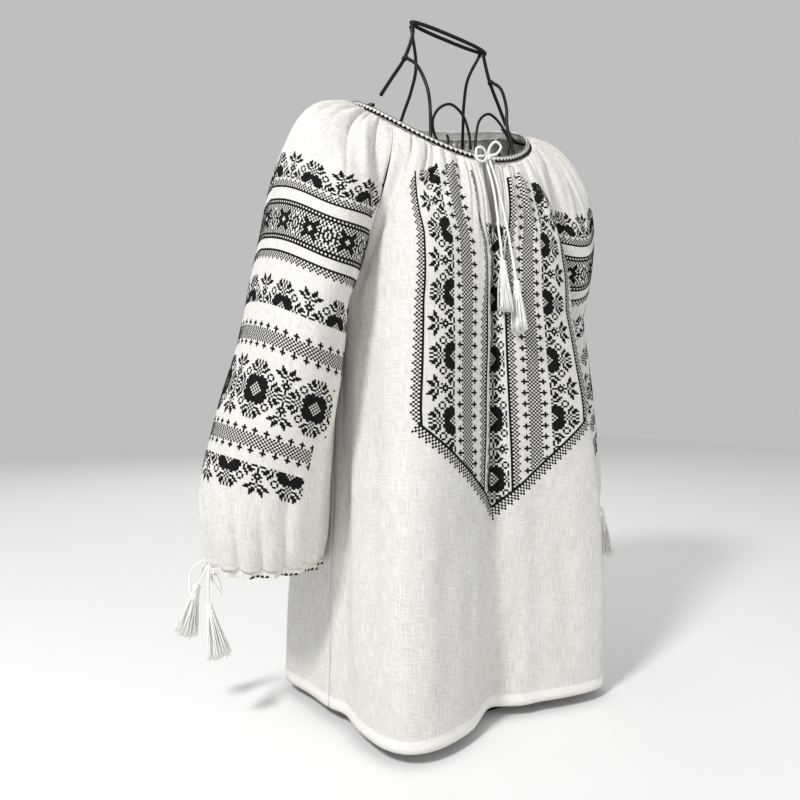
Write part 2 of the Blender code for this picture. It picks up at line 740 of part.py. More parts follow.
def make_form(material):
    ring = TOP_RING
    t = 2 * np.pi * np.arange(28) / 28
    x = np.sign(np.cos(t)) * np.abs(np.cos(t)) ** 0.72 * ring["half_width"]
    path = stack(FORM_X + x, ring["y"] + np.sin(t) * ring["half_depth"], ring["z"] + ring["tilt"] * x)
    wire("form_top_ring", path, WIRE_RADIUS, material, closed=True)
    for label, side in (("right", -1), ("left", 1)):
        bar, out = shoulder_bar_path("R" if side < 0 else "L")
        across = np.cross(np.gradient(bar, axis=0), out)
        across *= SHOULDER_BAR["width"] / 2 / np.linalg.norm(across, axis=1, keepdims=True)
        strip(f"form_shoulder_bar_{label}", bar - across, bar + across, SHOULDER_BAR["thickness"], material)
        # The shoulder wire ends just short of the bar that it holds
        path = on_side(SHOULDER_WIRE, side)
        path[0, 2] += ring["tilt"] * (path[0, 0] - FORM_X) - side * SEAM_GAP
        path[-1] = bar[0] + np.array((-side, 0.0, 1.0)) * (0.0010 + side * 0.0002)
        wire(f"form_shoulder_wire_{label}", smooth_path(path, 3), WIRE_RADIUS, material)
        make_rib(f"form_front_rib_{label}", FRONT_WIRE, side, 32.0, THIN_WIRE_RADIUS, material)
        make_rib(f"form_back_rib_{label}", BACK_WIRE, side, 148.0, THIN_WIRE_RADIUS, material)
        make_rib(f"form_side_rib_{label}", SIDE_WIRE, side, 90.0, WIRE_RADIUS, material)
        wire(f"form_scroll_{label}", smooth_path(on_side(SCROLL_WIRE, side), 2), THIN_WIRE_RADIUS, material)
    degrees = np.arange(24) * 360 / 24
    for label, height in HOOPS:
        inset = WIRE_RADIUS + THIN_WIRE_RADIUS + SEAM_GAP + 0.0001
        path = form_section(degrees, height, inset)
        wire(f"form_{label}_hoop", path, THIN_WIRE_RADIUS, material, closed=True)
    degrees = np.arange(28) * 360 / 28
    thickness, overhang = BASE_RING["thickness"], BASE_RING["overhang"]
    outer = form_section(degrees, thickness, 0.004 - overhang - BASE_RING["width"] / 2 + 0.003)
    inner = form_section(degrees, thickness, 0.004 - overhang + BASE_RING["width"] / 2 + 0.003)
    outer[:, 2] = inner[:, 2] = thickness / 2
    strip("form_base_ring", outer, inner, thickness, material, closed=True)


# Ties: the knot, its loops, and the two free ends with their tassels
NECK_KNOT = (0.0, -0.0925, 0.6235)
NECK_KNOT_SIZE = (0.0046, 0.0034, 0.0042)
NECK_LOOPS = (
    # four points of each loop after the knot
    ((-0.009, -0.0960, 0.6300), (-0.018, -0.0970, 0.6275), (-0.0175, -0.0970, 0.6165), (-0.009, -0.0970, 0.6150)),
    ((0.001, -0.0960, 0.6330), (0.007, -0.0980, 0.6390), (0.0145, -0.0980, 0.6350), (0.0095, -0.0965, 0.6265)),
)
NECK_CORDS = (
    # x where it leaves the knot and how far under its middle, then x and height of the tassel's head
    (-0.0028, 0.0053, 0.0055, 0.5060),
    (0.0028, 0.0043, 0.0215, 0.4850),
)
NECK_TASSEL = {"length": 0.046, "spread": 1.45}
NECK_TASSEL_HANG = (0.03, -0.09, -1.0)
CUFF_TASSEL = {"length": 0.048, "spread": 2.7}
CUFF_KNOT_SIZE = (0.0042, 0.0042, 0.0042)
# Where each cuff's tie sits round the sleeve, from 0 at its front seam over the outside to 1
CUFF_KNOT_TURN = {"R": 0.60, "L": 0.44}
CUFF_BOW_FACING = {"R": (-0.545, -0.839), "L": (0.93, -0.37)}
CUFF_LOOPS = (
    # four points of each loop after the knot: along, outward, up
    ((0.008, 0.004, 0.001), (0.020, 0.006, -0.010), (0.0190, 0.007, -0.034), (0.009, 0.007, -0.018)),
    ((-0.001, 0.004, -0.0075), (-0.0085, 0.004, -0.018), (-0.0130, 0.006, -0.034), (-0.0035, 0.008, -0.017)),
)
CUFF_ENDS = {
    # along, outward and up of each free end, the lean of its tassel along and outward, and the cord's bow
    "R": ((0.0165, -0.0060, -0.0260, 0.24, -0.10, 0.0), (-0.0020, 0.0140, -0.0410, -0.26, 0.14, 0.004)),
    "L": ((-0.0240, 0.0040, -0.0300, -0.25, 0.00, 0.0), (0.0000, 0.0150, -0.0140, -0.05, 0.08, 0.004)),
}


def make_knot(name, centre, size, loops, stubs, material):
    shapes = [ball(f"{name}_middle", centre, size, material)]
    lines = [smooth_path(np.array([centre, *loop, centre]), 2) for loop in loops]
    lines += [np.array([centre, np.array(centre) * 0.4 + end * 0.6, end]) for end in stubs]
    for number, line in enumerate(lines):
        shapes.append(mesh_of(wire(f"{name}_{number}", line, CORD_RADIUS, material)))
    return joined(name, shapes, material)


def front_skin(x, z):
    """The outside of the front cloth at some x and height near the middle: its y."""
    s = np.linspace(0, 2, 161)
    u = np.linspace(0, 0.35, 36)
    grid = front_cloth(np.copysign(u[None, :], x if x else 1.0), s[:, None])
    flat = grid.reshape(-1, 3)
    nearest = np.argsort(np.hypot(flat[:, 0] - x, flat[:, 2] - z))[:4]
    return flat[nearest, 1].min()


def make_neck_tie(material):
    # The drawstring runs inside the neckband, and comes out of its two ends to the knot
    stubs = []
    for side in (-1, 1):
        degrees = np.array((NECKBAND_GAP_DEG, NECKBAND_GAP_DEG + 2.0)) * side
        end, beyond = neckband_path(degrees, NECKBAND_HEIGHT / 2)
        stubs.append(end + (end - beyond) / np.linalg.norm(end - beyond) * (SEAM_GAP + 0.0003))
    make_knot("neck_bow", NECK_KNOT, NECK_KNOT_SIZE, NECK_LOOPS, stubs, material)
    for number, (x_top, drop, x_end, z_end) in enumerate(NECK_CORDS):
        label = "ab"[number]
        share = np.linspace(0, 1, 11)
        z = NECK_KNOT[2] - drop + (z_end - NECK_KNOT[2] + drop) * share
        x = x_top + (x_end - x_top) * share**1.1
        y = np.array([front_skin(a, b) for a, b in zip(x, z)]) - CLOTH_WALL / 2 - CORD_RADIUS - SEAM_GAP
        # The cord hangs straight over hollows, and stays clear of the cloth where it swells
        y = np.minimum.accumulate(y) - 0.0032 * share
        y[0] = NECK_KNOT[1]
        path = stack(x, y, z)
        wire(f"neck_cord_{label}", path, CORD_RADIUS, material, resolution=2)
        head = path[-1] + (0.0, -0.0010, -SEAM_GAP - 0.0002)
        make_tassel(f"neck_tassel_{label}", head, NECK_TASSEL_HANG, NECK_TASSEL, 0.3 * number, material)


def make_cuff_tie(name, material):
    label = {"R": "right", "L": "left"}[name]
    w = CUFF_KNOT_TURN[name]
    middle = cuff_ring(name, w, CUFF_BAND_LIFT + CUFF_BAND_HEIGHT / 2)
    centre = cuff_ring(name, np.arange(20) / 20, 0.0).mean(axis=0)
    out = middle - centre
    out[2] = 0.0
    out /= np.linalg.norm(out)
    knot = middle + out * (CUFF_BAND_WALL / 2 + CUFF_KNOT_SIZE[1])
    out = np.array((*CUFF_BOW_FACING[name], 0.0))
    along = np.array((out[1], -out[0], 0.0))

    def place(a, b, c):
        return knot + along * a + out * b + np.array((0.0, 0.0, c))

    loops = [[place(*point) for point in loop] for loop in CUFF_LOOPS]
    make_knot(f"cuff_bow_{label}", knot, CUFF_KNOT_SIZE, loops, [], material)
    for number, (a, b, c, lean_along, lean_out, bow) in enumerate(CUFF_ENDS[name]):
        if bow:
            start = place(math.copysign(0.0014, a), 0.0042, -0.0016)
        else:
            start = place(math.copysign(0.0041, a), -0.0006, -0.0018)
        end = place(a, b, c)
        over = start + (end - start) * (0.3, 0.3, 0.10) + out * bow
        path = smooth_path([start, over, end * 0.6 + start * 0.4 + out * bow, end], 3)
        end_label = f"{label}_{'ab'[number]}"
        wire(f"cuff_cord_{end_label}", path, CORD_RADIUS, material, resolution=2)
        head = path[-1] + np.array((0.0, 0.0, -SEAM_GAP - 0.0005))
        lean = along * lean_along + out * lean_out
        hang = (lean[0], lean[1], -1.0)
        make_tassel(f"cuff_tassel_{end_label}", head, hang, CUFF_TASSEL, 0.25 * number, material)


def make_material(name, colour, roughness, metallic=0.0):
    material = bpy.data.materials.new(name)
    material.use_nodes = True
    shader = material.node_tree.nodes["Principled BSDF"]
    shader.inputs["Base Color"].default_value = (*colour, 1.0)
    shader.inputs["Roughness"].default_value = roughness
    shader.inputs["Metallic"].default_value = metallic
    return material


def main():
    for obj in list(bpy.data.objects):
        bpy.data.objects.remove(obj)
    bpy.context.scene.collection.children.link(bpy.data.collections.new(COLLECTION))
    linen = make_material("linen", (0.86, 0.83, 0.77), 0.9)
    trim = make_material("neck_trim", (0.10, 0.10, 0.10), 0.9)
    cord = make_material("cord", (0.90, 0.89, 0.86), 0.85)
    wire = make_material("black_wire", (0.012, 0.012, 0.013), 0.45)
    make_front(linen)
    make_back(linen)
    for name in "RL":
        make_sleeve(name, linen)
        make_cuff(name, linen)
        make_cuff_tie(name, cord)
    make_neckband(trim)
    make_neck_tie(cord)
    make_form(wire)
    for obj in bpy.data.collections[COLLECTION].objects:
        obj.location.x += PLAN_SHIFT[0]
        obj.location.y += PLAN_SHIFT[1]


if __name__ == "__main__":
    main()
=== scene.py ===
"""The looks of a gathered linen blouse with black cross stitch, on a wire dress form.

Metres, +Z up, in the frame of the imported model. The blouse faces -Y, and its right sleeve is on
the -X side. Each piece of cloth is a fine grid of points, which gets its gathers, creases and
seams as relief, and the stitches lie on that grid.
"""

import math

import bmesh
import bpy
import numpy as np
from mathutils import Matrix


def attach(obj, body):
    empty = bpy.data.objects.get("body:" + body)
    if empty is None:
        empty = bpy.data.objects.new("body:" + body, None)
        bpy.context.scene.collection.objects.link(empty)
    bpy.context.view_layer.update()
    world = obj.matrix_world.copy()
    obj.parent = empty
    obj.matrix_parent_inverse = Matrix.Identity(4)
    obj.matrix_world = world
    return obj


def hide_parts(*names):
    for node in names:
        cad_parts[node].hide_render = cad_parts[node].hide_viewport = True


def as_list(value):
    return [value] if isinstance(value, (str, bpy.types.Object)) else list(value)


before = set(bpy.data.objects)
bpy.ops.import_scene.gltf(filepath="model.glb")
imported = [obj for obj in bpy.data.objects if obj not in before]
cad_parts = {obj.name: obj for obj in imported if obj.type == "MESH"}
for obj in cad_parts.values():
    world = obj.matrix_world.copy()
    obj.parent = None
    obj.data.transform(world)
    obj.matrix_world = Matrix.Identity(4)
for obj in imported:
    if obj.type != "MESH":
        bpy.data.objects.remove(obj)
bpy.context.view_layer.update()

# Gauges
CLOTH_OUTSIDE = 0.0005
CLOTH_THICKNESS = 0.0008
CORD_RADIUS = 0.00125
CORD_PITCH = 0.0085
WIRE_RADIUS = 0.0022
THIN_WIRE_RADIUS = 0.0016
RIB_WIRE_RADIUS = THIN_WIRE_RADIUS * 1.25
CELL = 0.00207

# The cloth's wall in the solids, which the cords lie on
CLOTH_WALL = 0.0012
SEAM_GAP = 0.0003

# The part stands with the middle of its outline over the origin
PLAN_SHIFT = (-0.0055, 0.0117)

# Neckline: an oval seen from above that dips at the front
NECK_HALF_WIDTH = 0.120
NECK_HALF_DEPTH = 0.088
NECK_TOP = 0.699
NECK_DIP = 0.082
NECK_DIP_POWER = 2.6
NECK_TILT = 0.035
NECKBAND_HEIGHT = 0.009
NECKBAND_WALL = 0.0024
NECKBAND_LIFT = {"middle": 0.0012, "sides": 0.0021}
NECKBAND_GAP_DEG = 7.0
FRONT_SEAM_DEG = 55.0
BACK_SEAM_DEG = 128.0

# Body: sections of a rounded square, by height
UNDERARM_Z = 0.457
HEM_Z = 0.013
SQUARENESS = 2.9
BODY_TABLE = (
    # height, half_width, front_depth, back_depth
    (0.013, 0.151, 0.124, 0.112),
    (0.120, 0.149, 0.122, 0.110),
    (0.230, 0.146, 0.119, 0.107),
    (0.340, 0.143, 0.117, 0.104),
    (0.457, 0.142, 0.113, 0.102),
)
# Deep folds that hang from the bust and the shoulder blades; outward is positive
FLUTE_TABLE = (
    # angle_deg, width_deg, at_hem, at_middle, at_underarm
    (-41.0, 18.0, 0.045, 0.040, 0.018),
    (0.0, 15.0, -0.026, -0.010, -0.004),
    (53.0, 16.0, 0.037, 0.037, 0.012),
    (25.0, 8.0, -0.006, -0.003, 0.000),
    (-78.0, 9.0, -0.008, -0.007, 0.000),
    (-129.0, 15.0, 0.044, 0.040, 0.006),
    (136.0, 15.0, 0.030, 0.018, 0.004),
    (180.0, 20.0, 0.008, 0.004, 0.000),
    (-158.0, 10.0, -0.010, -0.006, -0.001),
    (157.0, 10.0, -0.010, -0.006, -0.001),
)
# Inward pleat under the slit: its half width and depth, by height
PLEAT_TABLE = (
    # height, half_angle_deg, depth
    (0.200, 9.0, 0.004),
    (0.260, 6.0, 0.010),
    (0.340, 4.0, 0.013),
    (0.457, 3.0, 0.012),
)

# Front and back panels above the underarm: Bezier handles at the neckline and at the underarm level
CENTRE_NECK_HANDLE = (0.0, -0.022, -0.045)
SEAM_NECK_HANDLE = (0.012, -0.036, -0.038)
BACK_CENTRE_NECK_HANDLE = (0.0, 0.030, -0.050)
BACK_SEAM_NECK_HANDLE = (0.020, 0.036, -0.026)
CENTRE_LOW_HANDLE = (0.0, 0.0, 0.060)
SEAM_LOW_HANDLE = (-0.014, -0.066, 0.058)

# Slit at the centre front
SLIT_END = 0.62

# Sleeves: rings by height, then the handles of the cap's crown
SLEEVE_TABLES = {
    "R": (
        # height, centre_x, centre_y, half_width, front_depth, back_depth
        (0.181, 0.2115, 0.026, 0.0570, 0.0570, 0.0560),
        (0.200, 0.2130, 0.024, 0.0617, 0.0640, 0.0600),
        (0.226, 0.2150, 0.021, 0.0652, 0.0690, 0.0640),
        (0.270, 0.2150, 0.016, 0.0672, 0.0730, 0.0670),
        (0.330, 0.2085, 0.008, 0.0615, 0.0790, 0.0720),
        (0.400, 0.1985, 0.001, 0.0520, 0.0880, 0.0760),
        (0.457, 0.1900, 0.000, 0.0458, 0.0960, 0.0780),
    ),
    "L": (
        # height, centre_x, centre_y, half_width, front_depth, back_depth
        (0.201, 0.2320, 0.050, 0.0500, 0.0510, 0.0500),
        (0.220, 0.2290, 0.049, 0.0570, 0.0590, 0.0570),
        (0.247, 0.2240, 0.047, 0.0600, 0.0650, 0.0620),
        (0.287, 0.2130, 0.042, 0.0570, 0.0690, 0.0690),
        (0.340, 0.1980, 0.030, 0.0500, 0.0680, 0.0780),
        (0.400, 0.1850, 0.013, 0.0380, 0.0630, 0.0900),
        (0.457, 0.1710, 0.000, 0.0268, 0.0560, 0.1020),
    ),
}
CROWN_NECK_HANDLE = {"R": (0.078, -0.004, 0.008), "L": (0.099, -0.004, 0.016)}
CROWN_LOW_HANDLE = {"R": (-0.024, -0.006, 0.143), "L": (0.056, -0.012, 0.150)}
CUFF_BAND_HEIGHT = 0.008
CUFF_BAND_WALL = 0.0026
CUFF_BAND_LIFT = 0.0012

# Wire form inside: its middle, its plain torso by height, and the wires that show in the neck
FORM_X = 0.007
FORM_SQUARENESS = 2.2
FORM_TABLE = (
    # height, half_width, front_depth, back_depth
    (0.0043, 0.112, 0.078, 0.070),
    (0.130, 0.116, 0.080, 0.074),
    (0.310, 0.092, 0.064, 0.058),
    (0.450, 0.106, 0.074, 0.066),
    (0.520, 0.112, 0.076, 0.070),
)
TOP_RING = {"y": -0.004, "z": 0.792, "half_width": 0.0530, "half_depth": 0.0064, "tilt": -0.09}
# Each wire's points on the form's right side, as distances to the right of its middle
SHOULDER_WIRE = (
    # out, y, height under the top ring
    (0.0520, -0.0060, -0.0031),
    (0.0525, -0.0050, -0.0130),
    (0.0625, -0.0040, -0.0405),
    (0.0780, -0.0020, -0.0660),
    (0.0915, 0.0000, -0.0880),
)
FRONT_WIRE = (
    # out, y, height under the top ring
    (0.0616, -0.0084, -0.0410),
    (0.0600, -0.0300, -0.0580),
    (0.0566, -0.0450, -0.0860),
    (0.0549, -0.0490, -0.1110),
    (0.0595, -0.0580, -0.1520),
    (0.0605, -0.0660, -0.2070),
)
BACK_WIRE = (
    # out, y, height under the top ring
    (0.0500, 0.0012, -0.0026),
    (0.0380, 0.0100, -0.0370),
    (0.0390, 0.0200, -0.0655),
    (0.0445, 0.0300, -0.0920),
    (0.0530, 0.0450, -0.1370),
    (0.0585, 0.0600, -0.2020),
)
SCROLL_WIRE = (
    # out, y, height under the top ring
    (0.0035, -0.0550, -0.1500),
    (0.0050, -0.0540, -0.1320),
    (0.0120, -0.0520, -0.1120),
    (0.0270, -0.0500, -0.1015),
    (0.0430, -0.0495, -0.1090),
    (0.0534, -0.0520, -0.1260),
    (0.0518, -0.0550, -0.1440),
    (0.0430, -0.0570, -0.1535),
    (0.0355, -0.0570, -0.1480),
    (0.0365, -0.0560, -0.1400),
)
RIB_HEIGHTS = (0.52, 0.49, 0.40, 0.31, 0.22, 0.13, 0.06, 0.0047)

# Gathers: how many, how deep and how far they run
FRONT_GATHERS = 20
SLEEVE_GATHERS = 14
GATHER_DEPTH = 0.0021
CLOTH_GATHER_DEPTH = 0.00441
GATHER_REACH = 0.34
CUFF_CLOTH_GATHER_DEPTH = 0.0090

# Ties: the knot, its loops, and the two free ends with their tassels
NECK_KNOT = (0.0, -0.0925, 0.6235)
NECK_LOOPS = (
    # four points of each loop after the knot
    (
        (-0.009, -0.0960, 0.6300), (-0.018, -0.0970, 0.6275),
        (-0.0175, -0.0970, 0.6165), (-0.009, -0.0970, 0.6150),
    ),
    (
        (0.001, -0.0960, 0.6330), (0.007, -0.0980, 0.6390),
        (0.0145, -0.0980, 0.6350), (0.0095, -0.0965, 0.6265),
    ),
)
NECK_CORDS = (
    # x where it leaves the knot and how far under its middle, then x and height of the tassel's head
    (-0.0028, 0.0053, 0.0055, 0.5060),
    (0.0028, 0.0043, 0.0215, 0.4850),
)
NECK_TASSEL = {"length": 0.046, "spread": 1.45}
NECK_TASSEL_HANG = (0.03, -0.09, -1.0)
CUFF_TASSEL = {"length": 0.048, "spread": 2.7}
CUFF_KNOT_SIZE = (0.0042, 0.0042, 0.0042)
# Where each cuff's tie sits round the sleeve, from 0 at its front seam over the outside to 1
CUFF_KNOT_TURN = {"R": 0.60, "L": 0.44}
CUFF_BOW_FACING = {"R": (-0.545, -0.839), "L": (0.93, -0.37)}
CUFF_LOOPS = (
    # four points of each loop after the knot: along, outward, up
    (
        (0.008, 0.004, 0.001), (0.020, 0.006, -0.010),
        (0.0190, 0.007, -0.034), (0.009, 0.007, -0.018),
    ),
    (
        (-0.001, 0.004, -0.0075), (-0.0085, 0.004, -0.018),
        (-0.0130, 0.006, -0.034), (-0.0035, 0.008, -0.017),
    ),
)
CUFF_ENDS = {
    # along, outward and up of each free end, the lean of its tassel along and outward, and the cord's bow
    "R": ((0.0165, -0.0060, -0.0260, 0.24, -0.10, 0.0), (-0.0020, 0.0140, -0.0410, -0.26, 0.14, 0.004)),
    "L": ((-0.0240, 0.0040, -0.0300, -0.25, 0.00, 0.0), (0.0000, 0.0150, -0.0140, -0.05, 0.08, 0.004)),
}

# Fine grids of the cloth pieces: how many columns and rows
FRONT_HALF_GRID = (88, 236)
BACK_GRID = (150, 190)
SLEEVE_GRID = (168, 170)

# Creases and soft ridges of each piece. Troughs have a depth under zero
FRONT_RIGHT_CREASES = (
    # across, down at the start, across, down at the end, width, depth, bow
    (0.93, 0.20, 0.86, 1.05, 0.0070, 0.0040, 0.020),
    (0.84, 0.26, 0.78, 1.10, 0.0060, -0.0037, 0.010),
    (0.97, 0.50, 0.94, 1.45, 0.0080, -0.0047, 0.000),
    (0.72, 0.05, 0.70, 0.42, 0.0045, 0.0025, 0.010),
    (0.60, 0.04, 0.62, 0.30, 0.0040, -0.0022, 0.000),
    (0.80, 1.05, 0.74, 1.90, 0.0120, 0.0037, 0.015),
    (0.66, 1.12, 0.60, 1.97, 0.0140, -0.0034, 0.010),
    (0.52, 1.40, 0.47, 1.99, 0.0120, 0.0028, 0.010),
    (0.34, 1.45, 0.33, 1.96, 0.0150, -0.0028, 0.010),
    (0.90, 1.30, 0.88, 1.95, 0.0090, -0.0031, 0.010),
    (0.18, 1.55, 0.20, 1.99, 0.0110, 0.0025, 0.000),
    (0.98, 0.72, 0.74, 0.86, 0.0050, -0.0019, 0.030),
    (0.97, 0.93, 0.80, 1.03, 0.0055, 0.0017, 0.030),
)
FRONT_LEFT_CREASES = (
    # across, down at the start, across, down at the end, width, depth, bow
    (0.90, 0.18, 0.84, 1.00, 0.0065, -0.0034, 0.015),
    (0.78, 0.10, 0.76, 0.60, 0.0050, 0.0028, 0.010),
    (0.60, 0.05, 0.63, 0.36, 0.0040, -0.0020, 0.000),
    (0.94, 0.55, 0.90, 1.50, 0.0080, 0.0037, 0.010),
    (0.74, 1.10, 0.70, 1.93, 0.0130, -0.0034, 0.010),
    (0.58, 1.30, 0.53, 1.98, 0.0120, 0.0031, 0.012),
    (0.38, 1.48, 0.40, 1.97, 0.0130, -0.0028, 0.010),
    (0.86, 1.25, 0.82, 1.90, 0.0100, 0.0028, 0.010),
    (0.15, 1.58, 0.14, 1.99, 0.0100, -0.0022, 0.000),
    (0.98, 0.80, 0.76, 0.95, 0.0050, -0.0019, 0.030),
)
BACK_CREASES = (
    # across, down at the start, across, down at the end, width, depth, bow
    (-0.86, 0.16, -0.80, 1.10, 0.0080, 0.0040, 0.020),
    (-0.68, 0.10, -0.66, 0.80, 0.0070, -0.0034, 0.010),
    (-0.45, 0.06, -0.47, 0.62, 0.0060, 0.0026, 0.010),
    (-0.20, 0.05, -0.18, 0.48, 0.0060, -0.0025, 0.010),
    (0.08, 0.05, 0.10, 0.55, 0.0060, 0.0025, 0.010),
    (0.35, 0.08, 0.33, 0.70, 0.0065, -0.0028, 0.010),
    (0.62, 0.10, 0.66, 0.85, 0.0070, 0.0034, 0.010),
    (0.87, 0.20, 0.83, 1.20, 0.0080, -0.0040, 0.020),
    (-0.75, 1.10, -0.70, 1.95, 0.0130, -0.0039, 0.020),
    (-0.48, 1.25, -0.44, 1.98, 0.0140, 0.0034, 0.010),
    (-0.10, 1.35, -0.12, 1.98, 0.0150, -0.0031, 0.010),
    (0.22, 1.20, 0.26, 1.96, 0.0130, 0.0034, 0.010),
    (0.55, 1.15, 0.58, 1.98, 0.0140, -0.0037, 0.015),
    (0.84, 1.30, 0.80, 1.92, 0.0100, 0.0034, 0.010),
    (-0.97, 0.75, -0.70, 0.92, 0.0055, -0.0020, 0.030),
    (0.97, 0.78, 0.72, 0.96, 0.0055, -0.0020, 0.030),
)
SLEEVE_CREASES = {
    "R": (
        # across, down at the start, across, down at the end, width, depth, bow
        (0.10, 0.16, 0.05, 0.74, 0.0070, -0.0040, 0.020),
        (0.17, 0.12, 0.14, 0.62, 0.0060, 0.0034, 0.015),
        (0.26, 0.12, 0.25, 0.52, 0.0055, -0.0028, 0.010),
        (0.36, 0.10, 0.36, 0.46, 0.0050, 0.0025, 0.010),
        (0.60, 0.10, 0.61, 0.50, 0.0060, -0.0028, 0.010),
        (0.74, 0.12, 0.76, 0.62, 0.0065, 0.0031, 0.015),
        (0.90, 0.18, 0.95, 0.85, 0.0070, -0.0040, 0.020),
        (0.06, 0.90, 0.10, 1.62, 0.0090, -0.0040, 0.015),
        (0.14, 1.10, 0.17, 1.86, 0.0090, 0.0031, 0.010),
        (0.93, 1.00, 0.90, 1.80, 0.0100, -0.0040, 0.015),
        (0.80, 1.20, 0.79, 1.88, 0.0100, 0.0031, 0.010),
        (0.66, 1.45, 0.67, 1.92, 0.0080, -0.0025, 0.010),
        (0.24, 1.60, 0.26, 1.95, 0.0070, -0.0028, 0.010),
        (0.02, 1.25, 0.13, 1.33, 0.0060, 0.0022, 0.000),
        (0.98, 1.15, 0.86, 1.24, 0.0060, 0.0022, 0.000),
    ),
    "L": (
        # across, down at the start, across, down at the end, width, depth, bow
        (0.09, 0.15, 0.04, 0.70, 0.0070, -0.0040, 0.020),
        (0.18, 0.12, 0.16, 0.66, 0.0060, 0.0031, 0.015),
        (0.30, 0.12, 0.28, 0.56, 0.0055, -0.0028, 0.010),
        (0.42, 0.10, 0.41, 0.48, 0.0050, 0.0025, 0.010),
        (0.66, 0.10, 0.68, 0.55, 0.0060, -0.0028, 0.010),
        (0.82, 0.12, 0.84, 0.70, 0.0065, 0.0031, 0.015),
        (0.94, 0.20, 0.96, 0.90, 0.0070, -0.0037, 0.020),
        (0.05, 0.95, 0.08, 1.60, 0.0090, -0.0037, 0.015),
        (0.16, 1.15, 0.18, 1.88, 0.0090, 0.0031, 0.010),
        (0.90, 1.05, 0.88, 1.82, 0.0100, -0.0037, 0.015),
        (0.74, 1.30, 0.75, 1.90, 0.0090, 0.0028, 0.010),
        (0.55, 1.50, 0.56, 1.94, 0.0080, -0.0025, 0.010),
        (0.02, 1.20, 0.14, 1.30, 0.0060, 0.0022, 0.000),
    ),
}

# Sewn edges
CASING_HEIGHT = 0.0075
CASING_PUFF = 0.0008
HEM_BAND = 0.0125
HEM_LIFT = 0.0006
SEAM_WIDTH = 0.0016
SEAM_DEPTH = 0.0009

# Stitch charts: # is a full cross and a dot is bare cloth. A flower's quarter runs from its own
# middle, at the left, to the middle of the sprig, and from the tips down to the middle row
QUARTER = (
    ".............#...",
    ".#.#.........##..",
    ".#.##........###.",
    "#.###.....###.##.",
    "#.##.##....###..#",
    ".#..##.......###.",
    "#.###..##.......#",
    ".#....#..#....#.#",
    "#.##..#..#.....##",
    "######.##..#..##.",
    "#######...##...##",
    "#######..##.##..#",
    ".#######.#.####.#",
    "#.######.#.##...#",
    ".#.####.#.#..###.",
    "#.#.####.#.##...#",
)
# The lattice runs down, from its left edge to its right
LATTICE = (
    "####.#.#.####",
    ".#..#.#.#..#.",
    "...#.#.#.#...",
    "....#.#.#....",
    "...#.#.#.#...",
    ".#..#.#.#..#.",
)
# Borders run down, from their solid line out to their teeth
BORDER = (
    "#.#.#",
    "##.#.",
    "#.#..",
    "##.#.",
)
# The rosette band's quarter: rosette's middle at the left, ring's middle at the right
ROSETTE_QUARTER = (
    "###########",
    "#.#.#.#.#.#",
    "###########",
    ".#.#.#.#.#.",
    "#.#.#.#.#.#",
    ".#.##.#.#..",
    "#.####.#.#.",
    "#####.#..##",
    "####.##.##.",
    ".####.#.#.#",
    "..#######.#",
)

# Columns of stitches on each half of the front, at the height of the waist
FRONT_COLUMNS = {
    "R": (
        # chart, nearest and farthest edge from the middle
        ("middle", 0.0000, 0.0150),
        ("teeth", 0.0195, 0.0315),
        ("lattice", 0.0375, 0.0705),
        ("floral", 0.0740, 0.1085),
        ("border", 0.1120, 0.1240),
    ),
    "L": (
        # chart, nearest and farthest edge from the middle
        ("middle", 0.0000, 0.0150),
        ("teeth", 0.0170, 0.0295),
        ("lattice", 0.0340, 0.0700),
        ("floral", 0.0745, 0.1180),
        ("border", 0.1220, 0.1370),
    ),
}
# The panel's width against its width at the waist, where gathers take up cloth higher up
PANEL_SCALE = (
    # height, share
    (0.343, 1.05),
    (0.406, 1.00),
    (0.525, 0.91),
    (0.614, 0.81),
)
PANEL_TIP = 0.220
PANEL_SLOPE = 0.82
PANEL_BORDER = 0.0125

SLEEVE_BANDS = (
    # chart, start below the neckline, half width, first flower from the crown line
    ("floral_up", 0.1130, 0.160, -0.001),
    ("border_up", 0.1450, 0.160, 0.000),
    ("rosettes", 0.1680, 0.166, -0.003),
    ("border_down", 0.2220, 0.168, 0.000),
    ("floral_up", 0.2480, 0.166, -0.004),
    ("lattice", 0.2980, 0.155, 0.000),
    ("floral_whole", 0.3340, 0.140, -0.016),
    ("lattice", 0.4035, 0.126, 0.000),
    ("floral_down", 0.4400, 0.123, -0.025),
)

# The neck trim, from its upper edge down, and the small loops of thread along each cuff
TRIM = (
    "######",
    "......",
    "..#...",
    "..#...",
    ".###..",
    "#####.",
    "######",
    "######",
)
TRIM_CELL = 0.00095
PICOT = (
    "##..",
    "###.",
)

STITCH_OVERLAP = 0.07
STITCH_FOOT = 0.00008
STITCH_HEIGHT = 0.00042
CRUMPLE_DEPTH = 0.00055
CUFF_WAVE = 0.0024
PICOT_RUNS = 13
PICOT_CELL = 0.0012
PICOT_LEVELS = (0.72, 1.0)
PICOT_FACING = (0.84, -0.54)
PICOT_START = 0.42
ROWS_UP = 92
ROWS_DOWN = 118
MIDDLE_CELLS = 10
PANEL_HALF = 0.124
BORDER_GAP = 0.0008
# Where each kind of column starts: distances from the middle, and the heights there
PANEL_TOPS = {
    "middle": ((0.0, 0.1), (0.545, 0.545)),
    "teeth": ((0.0, 0.1), (0.600, 0.600)),
    "lattice": ((0.035, 0.072), (0.612, 0.600)),
    "floral": ((0.075, 0.110), (0.604, 0.590)),
    "border": ((0.112, 0.130), (0.592, 0.572)),
}
# How far the inverted fold's sides stand apart low down, by height
FOLD_OPENS = (
    (0.24, 0.0055),
    (0.30, 0.0045),
    (0.40, 0.0010),
    (0.46, 0.0),
)
